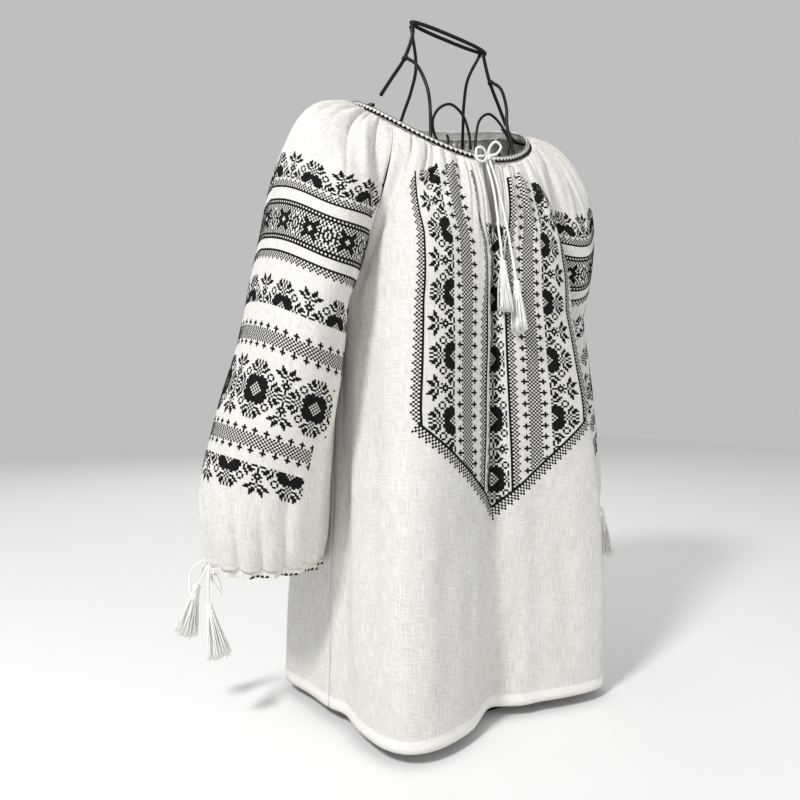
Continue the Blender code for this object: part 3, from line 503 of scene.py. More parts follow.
# How far the neck gathers draw the outer columns in, and how the slit's right edge turns under
GATHERS_DRAW = (
    (0.36, 0.0),
    (0.42, 0.003),
    (0.50, 0.006),
    (0.56, 0.010),
    (0.61, 0.013),
)
EDGE_TURNS = (
    (0.44, 1.0),
    (0.49, 0.45),
    (0.60, 0.30),
)
COLUMN_PHASE = {"floral": 8, "middle": 8}
FRONT_GATHER_COLUMNS = (0.0, 0.03, 0.065, 0.11, 0.16, 0.23, 0.31, 0.40, 0.49, 0.58, 0.67, 0.78, 0.89, 1.0)
TASSEL_THREADS = 84
TASSEL_ROOT = 0.0112
THREAD_RADIUS = 0.00062
SHORTEST_CORD = 0.030
WEAVE_PITCH = 0.0009

# Colours, each with its place on a ramp
LINEN_STOPS = (
    (0.34, (0.58, 0.555, 0.51)),
    (0.50, (0.72, 0.70, 0.66)),
    (0.64, (0.83, 0.815, 0.78)),
)
HEM_STOPS = (
    (0.34, (0.80, 0.775, 0.72)),
    (0.50, (0.88, 0.86, 0.815)),
    (0.64, (0.93, 0.915, 0.88)),
)
THREAD_STOPS = (
    (0.35, (0.004, 0.004, 0.004)),
    (0.70, (0.014, 0.013, 0.013)),
)
CORD_STOPS = (
    (0.35, (0.84, 0.82, 0.78)),
    (0.60, (0.95, 0.94, 0.92)),
)
WIRE_STOPS = (
    (0.35, (0.002, 0.002, 0.002)),
    (0.75, (0.008, 0.008, 0.008)),
)

# Cut sizes, width by length
FRONT_CUT = (0.60, 0.68)
BACK_CUT = (0.56, 0.72)
SLEEVE_CUT = (0.42, 0.54)
CUFF_CUT = (0.38, 0.012)
NECKBAND_CUT = (0.66, 0.012)

# The room
WORLD_STRENGTH = 0.52
FLOOR_COLOUR = (0.90, 0.90, 0.89)
FLOOR_SIZE = 8.0
LIGHTS = (
    # name, place, target, size, power
    ("key", (-1.9, -0.9, 2.2), (0.0, 0.0, 0.45), 0.45, 56.0),
    ("fill", (0.6, -2.4, 1.2), (0.0, 0.0, 0.4), 1.4, 7.0),
    ("back", (0.6, 2.2, 2.0), (0.0, 0.0, 0.4), 1.8, 12.0),
)
CAMERA = {
    "place": (-0.4960, -0.7434, 0.36),
    "turn_deg": -33.0,
    "lens": 33.3,
    "shift": (-0.0525, -0.00875),
}


def spline(table, column, at):
    """A smooth curve through one column of a table, read at some heights in its first column."""
    xs = np.array([row[0] for row in table])
    ys = np.array([row[column] for row in table])
    slopes = np.gradient(ys, xs)
    at = np.clip(at, xs[0], xs[-1])
    i = np.clip(np.searchsorted(xs, at, side="right") - 1, 0, len(xs) - 2)
    span = xs[i + 1] - xs[i]
    t = (at - xs[i]) / span
    return (
        ys[i] * (2 * t**3 - 3 * t**2 + 1)
        + ys[i + 1] * (3 * t**2 - 2 * t**3)
        + slopes[i] * span * (t**3 - 2 * t**2 + t)
        + slopes[i + 1] * span * (t**3 - t**2)
    )


def stack(x, y, z):
    return np.stack(np.broadcast_arrays(x, y, z), axis=-1).astype(float)


def bezier(p0, p1, p2, p3, t):
    t = np.asarray(t, float)[..., None]
    return p0 * (1 - t) ** 3 + 3 * p1 * t * (1 - t) ** 2 + 3 * p2 * t**2 * (1 - t) + p3 * t**3


def bump(x):
    return np.exp(-(x**2))


def angle_from(a, b):
    """The signed difference of two angles in degrees, from -180 to 180."""
    return (a - b + 180.0) % 360.0 - 180.0


def neckline(deg):
    """A point of the cloth's upper edge; 0 is the centre front and 90 the blouse's left."""
    t = np.radians(deg)
    x = NECK_HALF_WIDTH * np.sin(t)
    height = NECK_TOP + NECK_TILT * x - NECK_DIP * ((1 + np.cos(t)) / 2) ** NECK_DIP_POWER
    return stack(x, -NECK_HALF_DEPTH * np.cos(t), height)


def body(deg, z):
    """A point of the body's cloth at some angle and height, at or below the underarm."""
    t = np.radians(deg)
    width = spline(BODY_TABLE, 1, z)
    depth = np.where(np.cos(t) > 0, spline(BODY_TABLE, 2, z), spline(BODY_TABLE, 3, z))
    radius = (np.abs(np.sin(t) / width) ** SQUARENESS + np.abs(np.cos(t) / depth) ** SQUARENESS) ** (
        -1 / SQUARENESS
    )
    fall = (UNDERARM_Z - z) / (UNDERARM_Z - HEM_Z)
    for angle, spread, at_hem, at_middle, at_underarm in FLUTE_TABLE:
        depth_here = (
            at_underarm * (1 - fall) * (1 - 2 * fall)
            + 4 * at_middle * fall * (1 - fall)
            + at_hem * fall * (2 * fall - 1)
        )
        radius = radius + depth_here * bump(angle_from(deg, angle) / spread)
    pleat = spline(PLEAT_TABLE, 2, z) * np.clip((z - 0.14) / 0.06, 0, 1)
    radius = radius - pleat * bump(deg / spline(PLEAT_TABLE, 1, z))
    return stack(radius * np.sin(t), -radius * np.cos(t), z)


def mixed(first, second, share):
    share = np.asarray(share, float)[..., None]
    return np.array(first) * (1 - share) + np.array(second) * share


def signed(handle, side):
    """A handle with its x pointing to one side, -1 right and 1 left."""
    return np.array(handle) * np.stack([side, np.ones_like(side), np.ones_like(side)], axis=-1)


def front(u, s):
    """The front panel: u from -1 at the right seam to 1 at the left.

    s runs from 0 at the neckline through 1 at the underarm to 2 at the hem.
    """
    u, s = np.broadcast_arrays(np.asarray(u, float), np.asarray(s, float))
    side = np.sign(u)
    top, low = neckline(u * FRONT_SEAM_DEG), body(u * 90.0, UNDERARM_Z)
    neck_handle = signed(mixed(CENTRE_NECK_HANDLE, SEAM_NECK_HANDLE, np.abs(u) ** 2), side)
    low_handle = signed(mixed(CENTRE_LOW_HANDLE, SEAM_LOW_HANDLE, np.abs(u) ** 5), side)
    upper = bezier(top, top + neck_handle, low + low_handle, low, np.minimum(s, 1))
    z = UNDERARM_Z + (HEM_Z - UNDERARM_Z) * np.clip(s - 1, 0, 1)
    return np.where(s[..., None] <= 1, upper, body(u * 90.0, z))


def back(u, s):
    """The back panel: u from -1 at the left seam to 1 at the right, s as on the front."""
    u, s = np.broadcast_arrays(np.asarray(u, float), np.asarray(s, float))
    side = -np.sign(u)
    top = neckline(180.0 + u * (180.0 - BACK_SEAM_DEG))
    low = body(180.0 + u * 90.0, UNDERARM_Z)
    neck_handle = signed(mixed(BACK_CENTRE_NECK_HANDLE, BACK_SEAM_NECK_HANDLE, np.abs(u) ** 2), side)
    backward = np.array(SEAM_LOW_HANDLE) * (1, -1, 1)
    low_handle = signed(mixed(CENTRE_LOW_HANDLE, backward, np.abs(u) ** 5), side)
    upper = bezier(top, top + neck_handle, low + low_handle, low, np.minimum(s, 1))
    z = UNDERARM_Z + (HEM_Z - UNDERARM_Z) * np.clip(s - 1, 0, 1)
    return np.where(s[..., None] <= 1, upper, body(180.0 + u * 90.0, z))


def sleeve(name, w, s):
    """A sleeve: w from 0 at the front seam over the arm to 1 at the back seam.

    s runs from 0 at the neckline through 1 at the underarm to 2 at the cuff.
    """
    w, s = np.broadcast_arrays(np.asarray(w, float), np.asarray(s, float))
    side = np.full_like(w, -1.0 if name == "R" else 1.0)
    table = SLEEVE_TABLES[name]
    turn = 2 * np.pi * (w - 0.5)
    z = UNDERARM_Z + (table[0][0] - UNDERARM_Z) * np.clip(s - 1, 0, 1)
    depth = np.where(turn < 0, spline(table, 4, z), spline(table, 5, z))
    out = spline(table, 1, z) + spline(table, 3, z) * np.cos(turn)
    ring = stack(side * out, spline(table, 2, z) + depth * np.sin(turn), z)
    top = neckline(side * (FRONT_SEAM_DEG + w * (BACK_SEAM_DEG - FRONT_SEAM_DEG)))
    crown = np.clip(np.sin(np.pi * w), 0, 1) ** 1.5
    seam_neck = mixed(SEAM_NECK_HANDLE, BACK_SEAM_NECK_HANDLE, w)
    seam_low = mixed(SEAM_LOW_HANDLE, np.array(SEAM_LOW_HANDLE) * (1, -1, 1), w)
    neck_handle = seam_neck + (np.array(CROWN_NECK_HANDLE[name]) - seam_neck) * crown[..., None]
    low_handle = seam_low + (np.array(CROWN_LOW_HANDLE[name]) - seam_low) * crown[..., None]
    handles = top + signed(neck_handle, side), ring + signed(low_handle, side)
    upper = bezier(top, *handles, ring, np.minimum(s, 1))
    return np.where(s[..., None] <= 1, upper, ring)


def normals(surface, a, s):
    """Unit normals of a surface, by small steps along both of its parameters."""
    step = 1e-4
    across = surface(a + step, s) - surface(a - step, s)
    down = surface(a, s + step) - surface(a, s - step)
    n = np.cross(down, across)
    return n / np.maximum(np.linalg.norm(n, axis=-1, keepdims=True), 1e-12)


def gather(k, count, s, reach):
    """Depth of the neck gathers: k counts half gathers along the edge, s runs down from it."""
    own_reach = reach * (1 + 0.35 * np.sin(1.9 * k + 0.7))
    fade = np.clip(1 - s / own_reach, 0, 1) ** 1.5 * (0.45 + 0.55 * np.clip(s / 0.05, 0, 1))
    ends = np.clip(np.minimum(k, 2 * count - k) / 2.0, 0, 1)
    return np.cos(np.pi * k) * fade * ends * (1 + 0.3 * np.sin(2.7 * k))


def slit(s):
    """How far the slit pushes the front's middle edge sideways, as a share of the half panel."""
    return 0.094 * np.clip(1 - s / SLIT_END, 0, 1) ** 0.85


def front_cloth(u, s):
    """The front with its slit and gathers; negative zero is the right edge of the slit."""
    u, s = np.broadcast_arrays(np.asarray(u, float), np.asarray(s, float))
    side = np.copysign(1.0, u)
    spread = np.abs(u) + slit(s) * (1 - np.abs(u)) ** 2
    at = side * spread
    even = np.interp(np.abs(u), FRONT_GATHER_COLUMNS, np.linspace(0, 1, len(FRONT_GATHER_COLUMNS)))
    k = FRONT_GATHERS * (1 + even * side)
    deep = GATHER_DEPTH * gather(k, FRONT_GATHERS, s, GATHER_REACH)
    return front(at, s) + normals(front, at, s) * deep[..., None]


def smooth_path(points, steps):
    """A smooth line through some points, with the given number of spaces between each two."""
    points = np.asarray(points, float)
    slopes = np.gradient(points, axis=0)
    found = []
    for i in range(len(points) - 1):
        for t in np.arange(steps) / steps:
            found.append(
                points[i] * (2 * t**3 - 3 * t**2 + 1)
                + points[i + 1] * (3 * t**2 - 2 * t**3)
                + slopes[i] * (t**3 - 2 * t**2 + t)
                + slopes[i + 1] * (t**3 - t**2)
            )
    found.append(points[-1])
    return np.array(found)


def neckband_up(degrees):
    """The band's own upward direction: it leans in with the slope of the cloth under it."""
    t = np.radians(degrees)
    out = stack(np.sin(t), -np.cos(t), 0.0)
    lean = 0.34 + 0.40 * np.sin(t) ** 2 + 0.14 * (1 - np.cos(t)) / 2
    up = stack(0.0, 0.0, 1.0) - out * lean[..., None]
    return up / np.linalg.norm(up, axis=-1, keepdims=True)


def neckband_path(degrees, lift):
    """A line along the neckband, some height above its lower edge."""
    share = np.sin(np.radians(degrees)) ** 2
    own = NECKBAND_LIFT["middle"] * (1 - share) + NECKBAND_LIFT["sides"] * share + lift
    return neckline(degrees) + neckband_up(degrees) * own[..., None]


def cuff_ring(name, w, lift):
    """A point of the sleeve's end, some way below its edge."""
    ring = sleeve(name, w, 2.0)
    below = sleeve(name, w, 1.97)
    down = ring - below
    down /= np.linalg.norm(down, axis=-1, keepdims=True)
    down = down * 0.35 + np.array((0.0, 0.0, -0.65))
    return ring + down * lift


def form_section(deg, z, inset=0.0):
    """A point of the form's torso, at some angle and height."""
    t = np.radians(deg)
    width = spline(FORM_TABLE, 1, z) - inset
    depth = np.where(np.cos(t) > 0, spline(FORM_TABLE, 2, z), spline(FORM_TABLE, 3, z)) - inset
    power = FORM_SQUARENESS
    radius = (np.abs(np.sin(t) / width) ** power + np.abs(np.cos(t) / depth) ** power) ** (-1 / power)
    return stack(FORM_X + radius * np.sin(t), -radius * np.cos(t), z)


def on_side(table, side):
    """Points of a wire on one side of the form, -1 right and 1 left."""
    return np.array([(FORM_X + side * out, y, TOP_RING["z"] + drop) for out, y, drop in table])


def front_skin(x, z):
    """The outside of the front cloth at some x and height near the middle: its y."""
    s = np.linspace(0, 2, 161)
    u = np.linspace(0, 0.35, 36)
    grid = front_cloth(np.copysign(u[None, :], x if x else 1.0), s[:, None])
    flat = grid.reshape(-1, 3)
    nearest = np.argsort(np.hypot(flat[:, 0] - x, flat[:, 2] - z))[:4]
    return flat[nearest, 1].min()


SHIFT = np.array((*PLAN_SHIFT, 0.0))


def unit(vectors):
    return vectors / np.maximum(np.linalg.norm(vectors, axis=-1, keepdims=True), 1e-12)


def arcs(points, axis):
    """Lengths along a grid's rows (axis 1) or columns (axis 0), from its first point."""
    steps = np.linalg.norm(np.diff(points, axis=axis), axis=-1)
    start = np.zeros_like(np.take(steps, [0], axis=axis))
    return np.concatenate([start, np.cumsum(steps, axis=axis)], axis=axis)


def grid_normals(points, facing):
    normal = np.cross(np.gradient(points, axis=0), np.gradient(points, axis=1))
    return unit(normal) * facing


class Cloth:
    """A piece of cloth as a grid of points: a runs across it, s runs down it."""

    def __init__(self, surface, a, s, facing):
        self.surface, self.a, self.s, self.facing = surface, a, s, facing
        self.across, self.down = np.meshgrid(a, s)
        self.base = surface(self.across, self.down)
        self.out = grid_normals(self.base, facing)
        self.widths = arcs(self.base, 1)
        self.depths = arcs(self.base, 0)
        self.relief = np.full(self.across.shape, CLOTH_OUTSIDE)
        self.points = None
        self.skin = None

    def crease(self, rows):
        """Adds soft troughs and ridges along bowed lines."""
        share = np.linspace(0, 1, 49)
        for a0, s0, a1, s1, width, depth, bow in rows:
            a = a0 + (a1 - a0) * share + bow * np.sin(np.pi * share)
            line = self.surface(a, s0 + (s1 - s0) * share)
            low, high = line.min(axis=0) - 3 * width, line.max(axis=0) + 3 * width
            near = ((self.base > low) & (self.base < high)).all(axis=-1)
            gaps = np.linalg.norm(self.base[near][:, None] - line, axis=-1)
            taper = np.sin(np.pi * share[gaps.argmin(axis=1)]) ** 0.7
            self.relief[near] += depth * bump(gaps.min(axis=1) / width) * taper

    def crumple(self, size):
        """Small uneven waves, as in linen that has been worn and folded."""
        x, y, z = (self.base / size).transpose(2, 0, 1)
        waves = np.sin(3.1 * x + 1.7 * np.sin(0.9 * z + 2.0) + 1.1 * y)
        waves = waves + 0.8 * np.sin(2.3 * z + 1.9 * np.sin(1.3 * x - 0.7) - 1.6 * y)
        waves = waves + 0.5 * np.sin(5.7 * x - 4.1 * z + 2.4 * y + 1.0)
        self.relief += CRUMPLE_DEPTH * waves * np.clip(self.depths / 0.05, 0, 1)

    def finish(self):
        self.points = self.base + self.out * self.relief[..., None]
        self.skin = grid_normals(self.points, self.facing)

    def at(self, a, s, lift):
        """Points some way above the cloth, read between the grid's points."""
        x = np.interp(a, self.a, np.arange(len(self.a)))
        y = np.interp(s, self.s, np.arange(len(self.s)))
        i = np.clip(x.astype(int), 0, len(self.a) - 2)
        j = np.clip(y.astype(int), 0, len(self.s) - 2)
        p, q = (x - i)[..., None], (y - j)[..., None]
        found = []
        for values in (self.points, self.skin):
            upper = values[j, i] * (1 - p) + values[j, i + 1] * p
            lower = values[j + 1, i] * (1 - p) + values[j + 1, i + 1] * p
            found.append(upper * (1 - q) + lower * q)
        return found[0] + unit(found[1]) * np.asarray(lift)[..., None]


def gathers(k, count, depth, s):
    """Uneven neck gathers: k counts half gathers along the edge."""
    worn = k + 0.35 * np.sin(0.83 * k + 1.0) + 0.18 * np.sin(2.1 * k)
    reach = GATHER_REACH * 2.0 * (1 + 0.35 * np.sin(1.9 * worn + 0.7))
    fade = np.clip(1 - s / reach, 0, 1) ** 1.3 * (0.45 + 0.55 * np.clip(s / 0.05, 0, 1))
    ends = np.clip(np.minimum(k, 2 * count - k) / 2.0, 0, 1)
    # Broad ridges with narrow creases between them
    fold = 2 * np.abs(np.cos(np.pi * worn / 2)) ** 0.5 - 1
    main = fold * fade * ends * (1 + 0.3 * np.sin(2.7 * worn)) * CLOTH_GATHER_DEPTH
    fine = np.cos(2.3 * np.pi * worn) * bump(s / 0.10) * 0.0005
    wide = np.sin(0.47 * np.pi * worn + 1.2) * bump((s - 0.24) / 0.18) * 0.0024
    return main * np.clip(depth / 0.006, 0.25, 1) + (fine + wide) * ends


def casing(depth):
    """The drawstring's casing: a soft roll along the neck, and the stitch line under it."""
    roll = np.clip(1 - (2 * depth / CASING_HEIGHT - 1) ** 2, 0, 1)
    return CASING_PUFF * roll - 0.0007 * bump((depth - CASING_HEIGHT) / 0.0009)


def hem(height):
    """The doubled hem and its stitch line, by the height over the cloth's lower edge."""
    band = 1 / (1 + np.exp(np.minimum((height - HEM_BAND) / 0.0004, 700)))
    return HEM_LIFT * band - 0.0003 * bump((height - HEM_BAND + 0.0015) / 0.0006)


def seam(distance):
    return -SEAM_DEPTH * bump(distance / SEAM_WIDTH)


def stretch_rows(count, last):
    """Down values with rows packed into the first stretch, where the gathers are."""
    t = np.linspace(0, 1, count)
    return last * (0.62 * t + 0.38 * t**2)


def hem_rows(count):
    rows = stretch_rows(count - 6, 2.0)
    edge = 2.0 - HEM_BAND / (UNDERARM_Z - HEM_Z)
    near = edge + np.array((-0.0030, -0.0018, -0.0008, 0.0004, 0.0014, 0.0030))
    return np.sort(np.concatenate([rows, near]))


def make_front_cloths():
    halves = []
    for side in (-1.0, 1.0):

        def surface(a, s, side=side):
            a, s = np.broadcast_arrays(np.asarray(a, float), np.asarray(s, float))
            return front(side * (a + slit(s) * (1 - a) ** 2), s)

        a = np.linspace(0, 1, FRONT_HALF_GRID[0])
        cloth = Cloth(surface, a, hem_rows(FRONT_HALF_GRID[1]), side)
        even = np.interp(cloth.across, FRONT_GATHER_COLUMNS, np.linspace(0, 1, 14))
        k = FRONT_GATHERS * (1 + even * side)
        cloth.relief += gathers(k, FRONT_GATHERS, cloth.depths, cloth.down) + casing(cloth.depths)
        cloth.relief += seam(cloth.widths[:, -1:] - cloth.widths)
        cloth.crease(FRONT_RIGHT_CREASES if side < 0 else FRONT_LEFT_CREASES)
        cloth.crumple(0.055)
        cloth.relief += hem(cloth.base[..., 2] - HEM_Z)
        cloth.finish()
        halves.append(cloth)
    # Under the slit the halves are one cloth
    right, left = halves
    whole = right.s > SLIT_END
    middle = (right.points[whole, 0] + left.points[whole, 0]) / 2
    right.points[whole, 0] = left.points[whole, 0] = middle
    return halves


def make_back_cloth():
    a = np.linspace(-1, 1, BACK_GRID[0])
    cloth = Cloth(back, a, hem_rows(BACK_GRID[1]), 1.0)
    k = FRONT_GATHERS * (1 + cloth.across)
    cloth.relief += gathers(k, FRONT_GATHERS, cloth.depths, cloth.down) + casing(cloth.depths)
    cloth.relief += seam(np.minimum(cloth.widths, cloth.widths[:, -1:] - cloth.widths))
    cloth.crease(BACK_CREASES)
    cloth.crumple(0.060)
    cloth.relief += hem(cloth.base[..., 2] - HEM_Z)
    cloth.finish()
    return cloth


def make_sleeve_cloth(name):
    def surface(a, s):
        return sleeve(name, a, s)

    a = np.linspace(0, 1, SLEEVE_GRID[0])
    s = stretch_rows(SLEEVE_GRID[1], 2.0)
    s = np.sort(np.concatenate([s[: -SLEEVE_GRID[1] // 10], np.linspace(1.80, 2.0, 34)]))
    cloth = Cloth(surface, a, s, -1.0 if name == "R" else 1.0)
    k = 2 * SLEEVE_GATHERS * cloth.across
    cloth.relief += gathers(k, SLEEVE_GATHERS, cloth.depths, cloth.down) + casing(cloth.depths)
    # Gathers over the cuff, which run up by uneven lengths
    worn = k + 0.3 * np.sin(0.7 * k + 0.4) * np.sin(np.pi * cloth.across)
    reach = 0.34 + 0.10 * np.sin(1.3 * worn + 0.5) + 0.05 * np.sin(3.1 * worn)
    low = np.clip(1 - (2.0 - cloth.down) / reach, 0, 1) ** 1.6
    low = low * (1 - 0.35 * np.clip((cloth.down - 1.93) / 0.07, 0, 1))
    fold = 1.2 * np.abs(np.cos(np.pi * worn / 2)) ** 0.6 - 0.6
    cloth.relief += CUFF_CLOTH_GATHER_DEPTH * fold * low
    edge = np.minimum(cloth.widths, cloth.widths[:, -1:] - cloth.widths)
    cloth.relief += seam(edge)
    cloth.crease(SLEEVE_CREASES[name])
    cloth.crumple(0.050)
    cloth.finish()
    # Under the arm the sleeve is a closed tube
    closed = cloth.s >= 1
    ends = (cloth.points[closed, 0] + cloth.points[closed, -1]) / 2
    cloth.points[closed, 0] = cloth.points[closed, -1] = ends
    return cloth


def add_piece(name, points, faces, material, smooth=True):
    """A mesh piece from points in the blouse's own plan, which is shifted onto the frame's."""
    mesh = bpy.data.meshes.new(name)
    mesh.from_pydata((np.asarray(points) + SHIFT).tolist(), [], faces)
    mesh.materials.append(material)
    mesh.shade_smooth() if smooth else mesh.shade_flat()
    piece = bpy.data.objects.new(name, mesh)
    bpy.context.scene.collection.objects.link(piece)
    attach(piece, "root")
    return piece


def add_cloth(name, cloths, material, nodes, hemmed=None):
    """A thin shell from one or two grids of cloth, with its threads' directions as UVs in metres."""
    points, faces, uvs, first = [], [], [], 0
    for cloth in cloths:
        rows, columns = cloth.across.shape
        number = first + np.arange(rows * columns).reshape(rows, columns)
        corners = number[:-1, :-1], number[1:, :-1], number[1:, 1:], number[:-1, 1:]
        quads = np.stack(corners, axis=-1).reshape(-1, 4)
        faces.append(quads if cloth.facing > 0 else quads[:, ::-1])
        points.append(cloth.points.reshape(-1, 3))
        middle = cloth.widths[:, -1:] / 2 if len(cloths) == 1 else 0.0
        across = (cloth.widths - middle) * (cloth.facing if len(cloths) == 2 else 1.0)
        uvs.append(np.stack([across, cloth.depths], axis=-1).reshape(-1, 2))
        first += rows * columns
    faces = np.concatenate(faces)
    piece = add_piece(name, np.concatenate(points), faces.tolist(), material)
    layer = piece.data.uv_layers.new(name="threads")
    layer.data.foreach_set("uv", np.concatenate(uvs)[faces.ravel()].astype(np.float32).ravel())
    mesh = bmesh.new()
    mesh.from_mesh(piece.data)
    bmesh.ops.remove_doubles(mesh, verts=mesh.verts, dist=1e-6)
    mesh.to_mesh(piece.data)
    mesh.free()
    if hemmed:
        # The doubled hem lets no light through, so it is paler than the single cloth
        piece.data.materials.append(hemmed)
        for face in piece.data.polygons:
            face.material_index = int(face.center.z < HEM_Z + HEM_BAND)
    wall = piece.modifiers.new("wall", "SOLIDIFY")
    wall.thickness = CLOTH_THICKNESS
    wall.offset = -1.0
    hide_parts(*nodes)
    return piece


def unfold(quarter, rows_too):
    """A whole repeat from its quarter: mirrored across, and down where it is a whole flower."""
    half = [row + row[-2:0:-1] for row in quarter]
    return half + half[-2::-1] if rows_too else half


def chart(name):
    """A chart as a grid of booleans, its rows down the cloth and its columns across."""
    texts = {
        "floral_up": unfold(QUARTER[:-1], False),
        "floral_down": unfold(QUARTER[:-1], False)[::-1],
        "floral_whole": unfold(QUARTER, True),
        "rosettes": unfold(ROSETTE_QUARTER, True),
        "lattice": ["".join(column) for column in zip(*LATTICE)],
        "border_down": ["".join(column) for column in zip(*BORDER)],
        "border_up": ["".join(column) for column in zip(*BORDER)][::-1],
    }
    return np.array([[cell == "#" for cell in row] for row in texts[name]])


def crosses(low, high, filled, facing):
    """Cross stitches: a small cushion of thread in each filled cell, ridged along both diagonals.

    low and high are the lattice of the cells' corners, on the cloth and at the thread's height.
    """
    rows, columns = filled.shape

    def corner(lattice, row, column):
        return lattice[row : row + rows, column : column + columns][filled]

    turns = ((0, 0), (1, 0), (1, 1), (0, 1))
    on_cloth = [corner(low, *turn) for turn in turns]
    raised = [corner(high, *turn) for turn in turns]
    centre = sum(raised) / 4
    points = [centre]
    for k in range(4):
        ridge = on_cloth[k] * 0.45 + raised[k] * 0.55
        side = (on_cloth[k] + on_cloth[(k + 1) % 4]) / 2
        points += [ridge + (ridge - centre) * STITCH_OVERLAP, side]
    points = np.stack(points, axis=1).reshape(-1, 3)
    first = np.arange(int(filled.sum()))[:, None] * 9
    faces = []
    for k in range(8):
        face = (0, k + 1, (k + 1) % 8 + 1)
        faces.append(first + np.array(face if facing > 0 else face[::-1]))
    return points, np.concatenate(faces)


def stitched(cloth, a, s, filled):
    """The stitches of one band, from its corners' places across and down the cloth."""
    low = cloth.at(a, s, STITCH_FOOT)
    high = cloth.at(a, s, STITCH_HEIGHT)
    return crosses(low, high, filled, cloth.facing)


def tiled(cells, rows, columns, row_start=0, column_start=0):
    """A chart repeated over some rows and columns."""
    r = (np.arange(rows) + row_start) % cells.shape[0]
    c = (np.arange(columns) + column_start) % cells.shape[1]
    return cells[np.ix_(r, c)]


def merged(parts):
    """One list of points and one of faces from several."""
    points, faces, first = [], [], 0
    for own_points, own_faces in parts:
        points.append(own_points)
        faces += (np.asarray(own_faces) + first).tolist()
        first += len(own_points)
    return np.concatenate(points), faces


def column_corners(cloth, places, turned_under):
    """Corners of the cells of some columns on the front: their places across and down.

    Rows lie level at the underarm, and keep the same height of cell up and down from it.
    """
    narrowed = 1.0
    columns = len(cloth.a)
    height = cloth.base[:, columns // 3, 2]
    share = np.interp(height, [row[0] for row in PANEL_SCALE], [row[1] for row in PANEL_SCALE])
    rows = np.arange(-ROWS_UP, ROWS_DOWN + 1)
    a = np.empty((len(rows), len(places)))
    s = np.empty_like(a)
    opened = np.interp(height, [row[0] for row in FOLD_OPENS], [row[1] for row in FOLD_OPENS])
    drawn = np.interp(height, [row[0] for row in GATHERS_DRAW], [row[1] for row in GATHERS_DRAW])
    if turned_under:
        narrowed = np.interp(height, [row[0] for row in EDGE_TURNS], [row[1] for row in EDGE_TURNS])
    for k, place in enumerate(places):
        kept = places[0] + (place - places[0]) * narrowed
        own = kept * share + opened * min(1.0, place / 0.015) * (1 - place / PANEL_HALF)
        own = own - drawn * (place / PANEL_HALF) ** 3
        across = [np.interp(own[j], cloth.widths[j], cloth.a) for j in range(len(cloth.s))]
        line = cloth.surface(np.array(across), cloth.s)
        length = np.concatenate([[0], np.cumsum(np.linalg.norm(np.diff(line, axis=0), axis=1))])
        length -= np.interp(1.0, cloth.s, length)
        s[:, k] = np.interp(rows * CELL, length, cloth.s)
        a[:, k] = np.interp(s[:, k], cloth.s, across)
    return a, s


def panel_height(place):
    """Height of the panel's lower edge at some distance from the middle."""
    return PANEL_TIP + PANEL_SLOPE * place


def front_stitches(cloth, name):
    """All the stitches of half the front."""
    parts = []
    quarter = np.array([[cell == "#" for cell in row] for row in unfold(QUARTER, False)])
    cells = {
        "middle": quarter[::-1][:MIDDLE_CELLS].T,
        "teeth": np.array([[cell == "#" for cell in row] for row in BORDER]),
        "border": np.array([[cell == "#" for cell in row] for row in BORDER]),
        "lattice": np.array([[cell == "#" for cell in row] for row in LATTICE]),
        "floral": quarter[-2::-1].T,
    }
    slant = math.cos(math.atan(PANEL_SLOPE))
    outermost = FRONT_COLUMNS[name][-1][2]
    for label, near, far in FRONT_COLUMNS[name]:
        pattern = cells[label]
        count = pattern.shape[1]
        places = np.linspace(near, far, count + 1)
        a, s = column_corners(cloth, places, label == "teeth" and name == "R")
        shape = len(a) - 1, count
        filled = tiled(pattern, *shape, row_start=COLUMN_PHASE.get(label, 0))
        height = cloth.surface(a, s)[..., 2]
        height = (height[:-1, :-1] + height[1:, 1:]) / 2
        own = (places[:-1] + places[1:]) / 2 * PANEL_HALF / outermost
        top = np.interp(own, *PANEL_TOPS[label])
        filled &= (height < top) & ((s[:-1, :-1] + s[1:, 1:]) / 2 > 0.045)
        gap = -0.0020 if label == "border" else BORDER_GAP
        filled &= height > panel_height(own) + (PANEL_BORDER + gap) / slant
        parts.append(stitched(cloth, a, s, filled))
    parts.append(pointed_border(cloth, slant, outermost))
    return merged(parts)


def pointed_border(cloth, slant, outermost):
    """The border along the panel's slanting lower edge, in cells that stand on that edge."""
    count = int(round(PANEL_HALF / slant / CELL))
    along = np.linspace(0, PANEL_HALF, count + 1)
    out = np.arange(len(BORDER[0]) + 1) * PANEL_BORDER / len(BORDER[0])
    place, inward = np.meshgrid(along, out)
    x = np.clip(place - inward * math.sin(math.atan(PANEL_SLOPE)), 0, None)
    z = panel_height(place) + inward * slant
    s = 1 + (UNDERARM_Z - z) / (UNDERARM_Z - HEM_Z)
    share = np.interp(z, [row[0] for row in PANEL_SCALE], [row[1] for row in PANEL_SCALE])
    share = share * outermost / PANEL_HALF
    row = np.interp(s, cloth.s, np.arange(len(cloth.s))).astype(int)
    a = np.empty_like(x)
    for index in np.ndindex(x.shape):
        a[index] = np.interp(x[index] * share[index], cloth.widths[row[index]], cloth.a)
    cells = np.array([[cell == "#" for cell in line] for line in BORDER]).T[::-1]
    filled = tiled(cells, len(out) - 1, count)
    # Rows run from the edge inward here, so the lattice is turned to run down again
    return stitched(cloth, a[::-1], s[::-1], filled[::-1])


def make_front_embroidery(halves, material):
    parts = [front_stitches(cloth, name) for cloth, name in zip(halves, "RL")]
    points, faces = merged(parts)
    return add_piece("embroidery_front", points, faces, material, smooth=False)


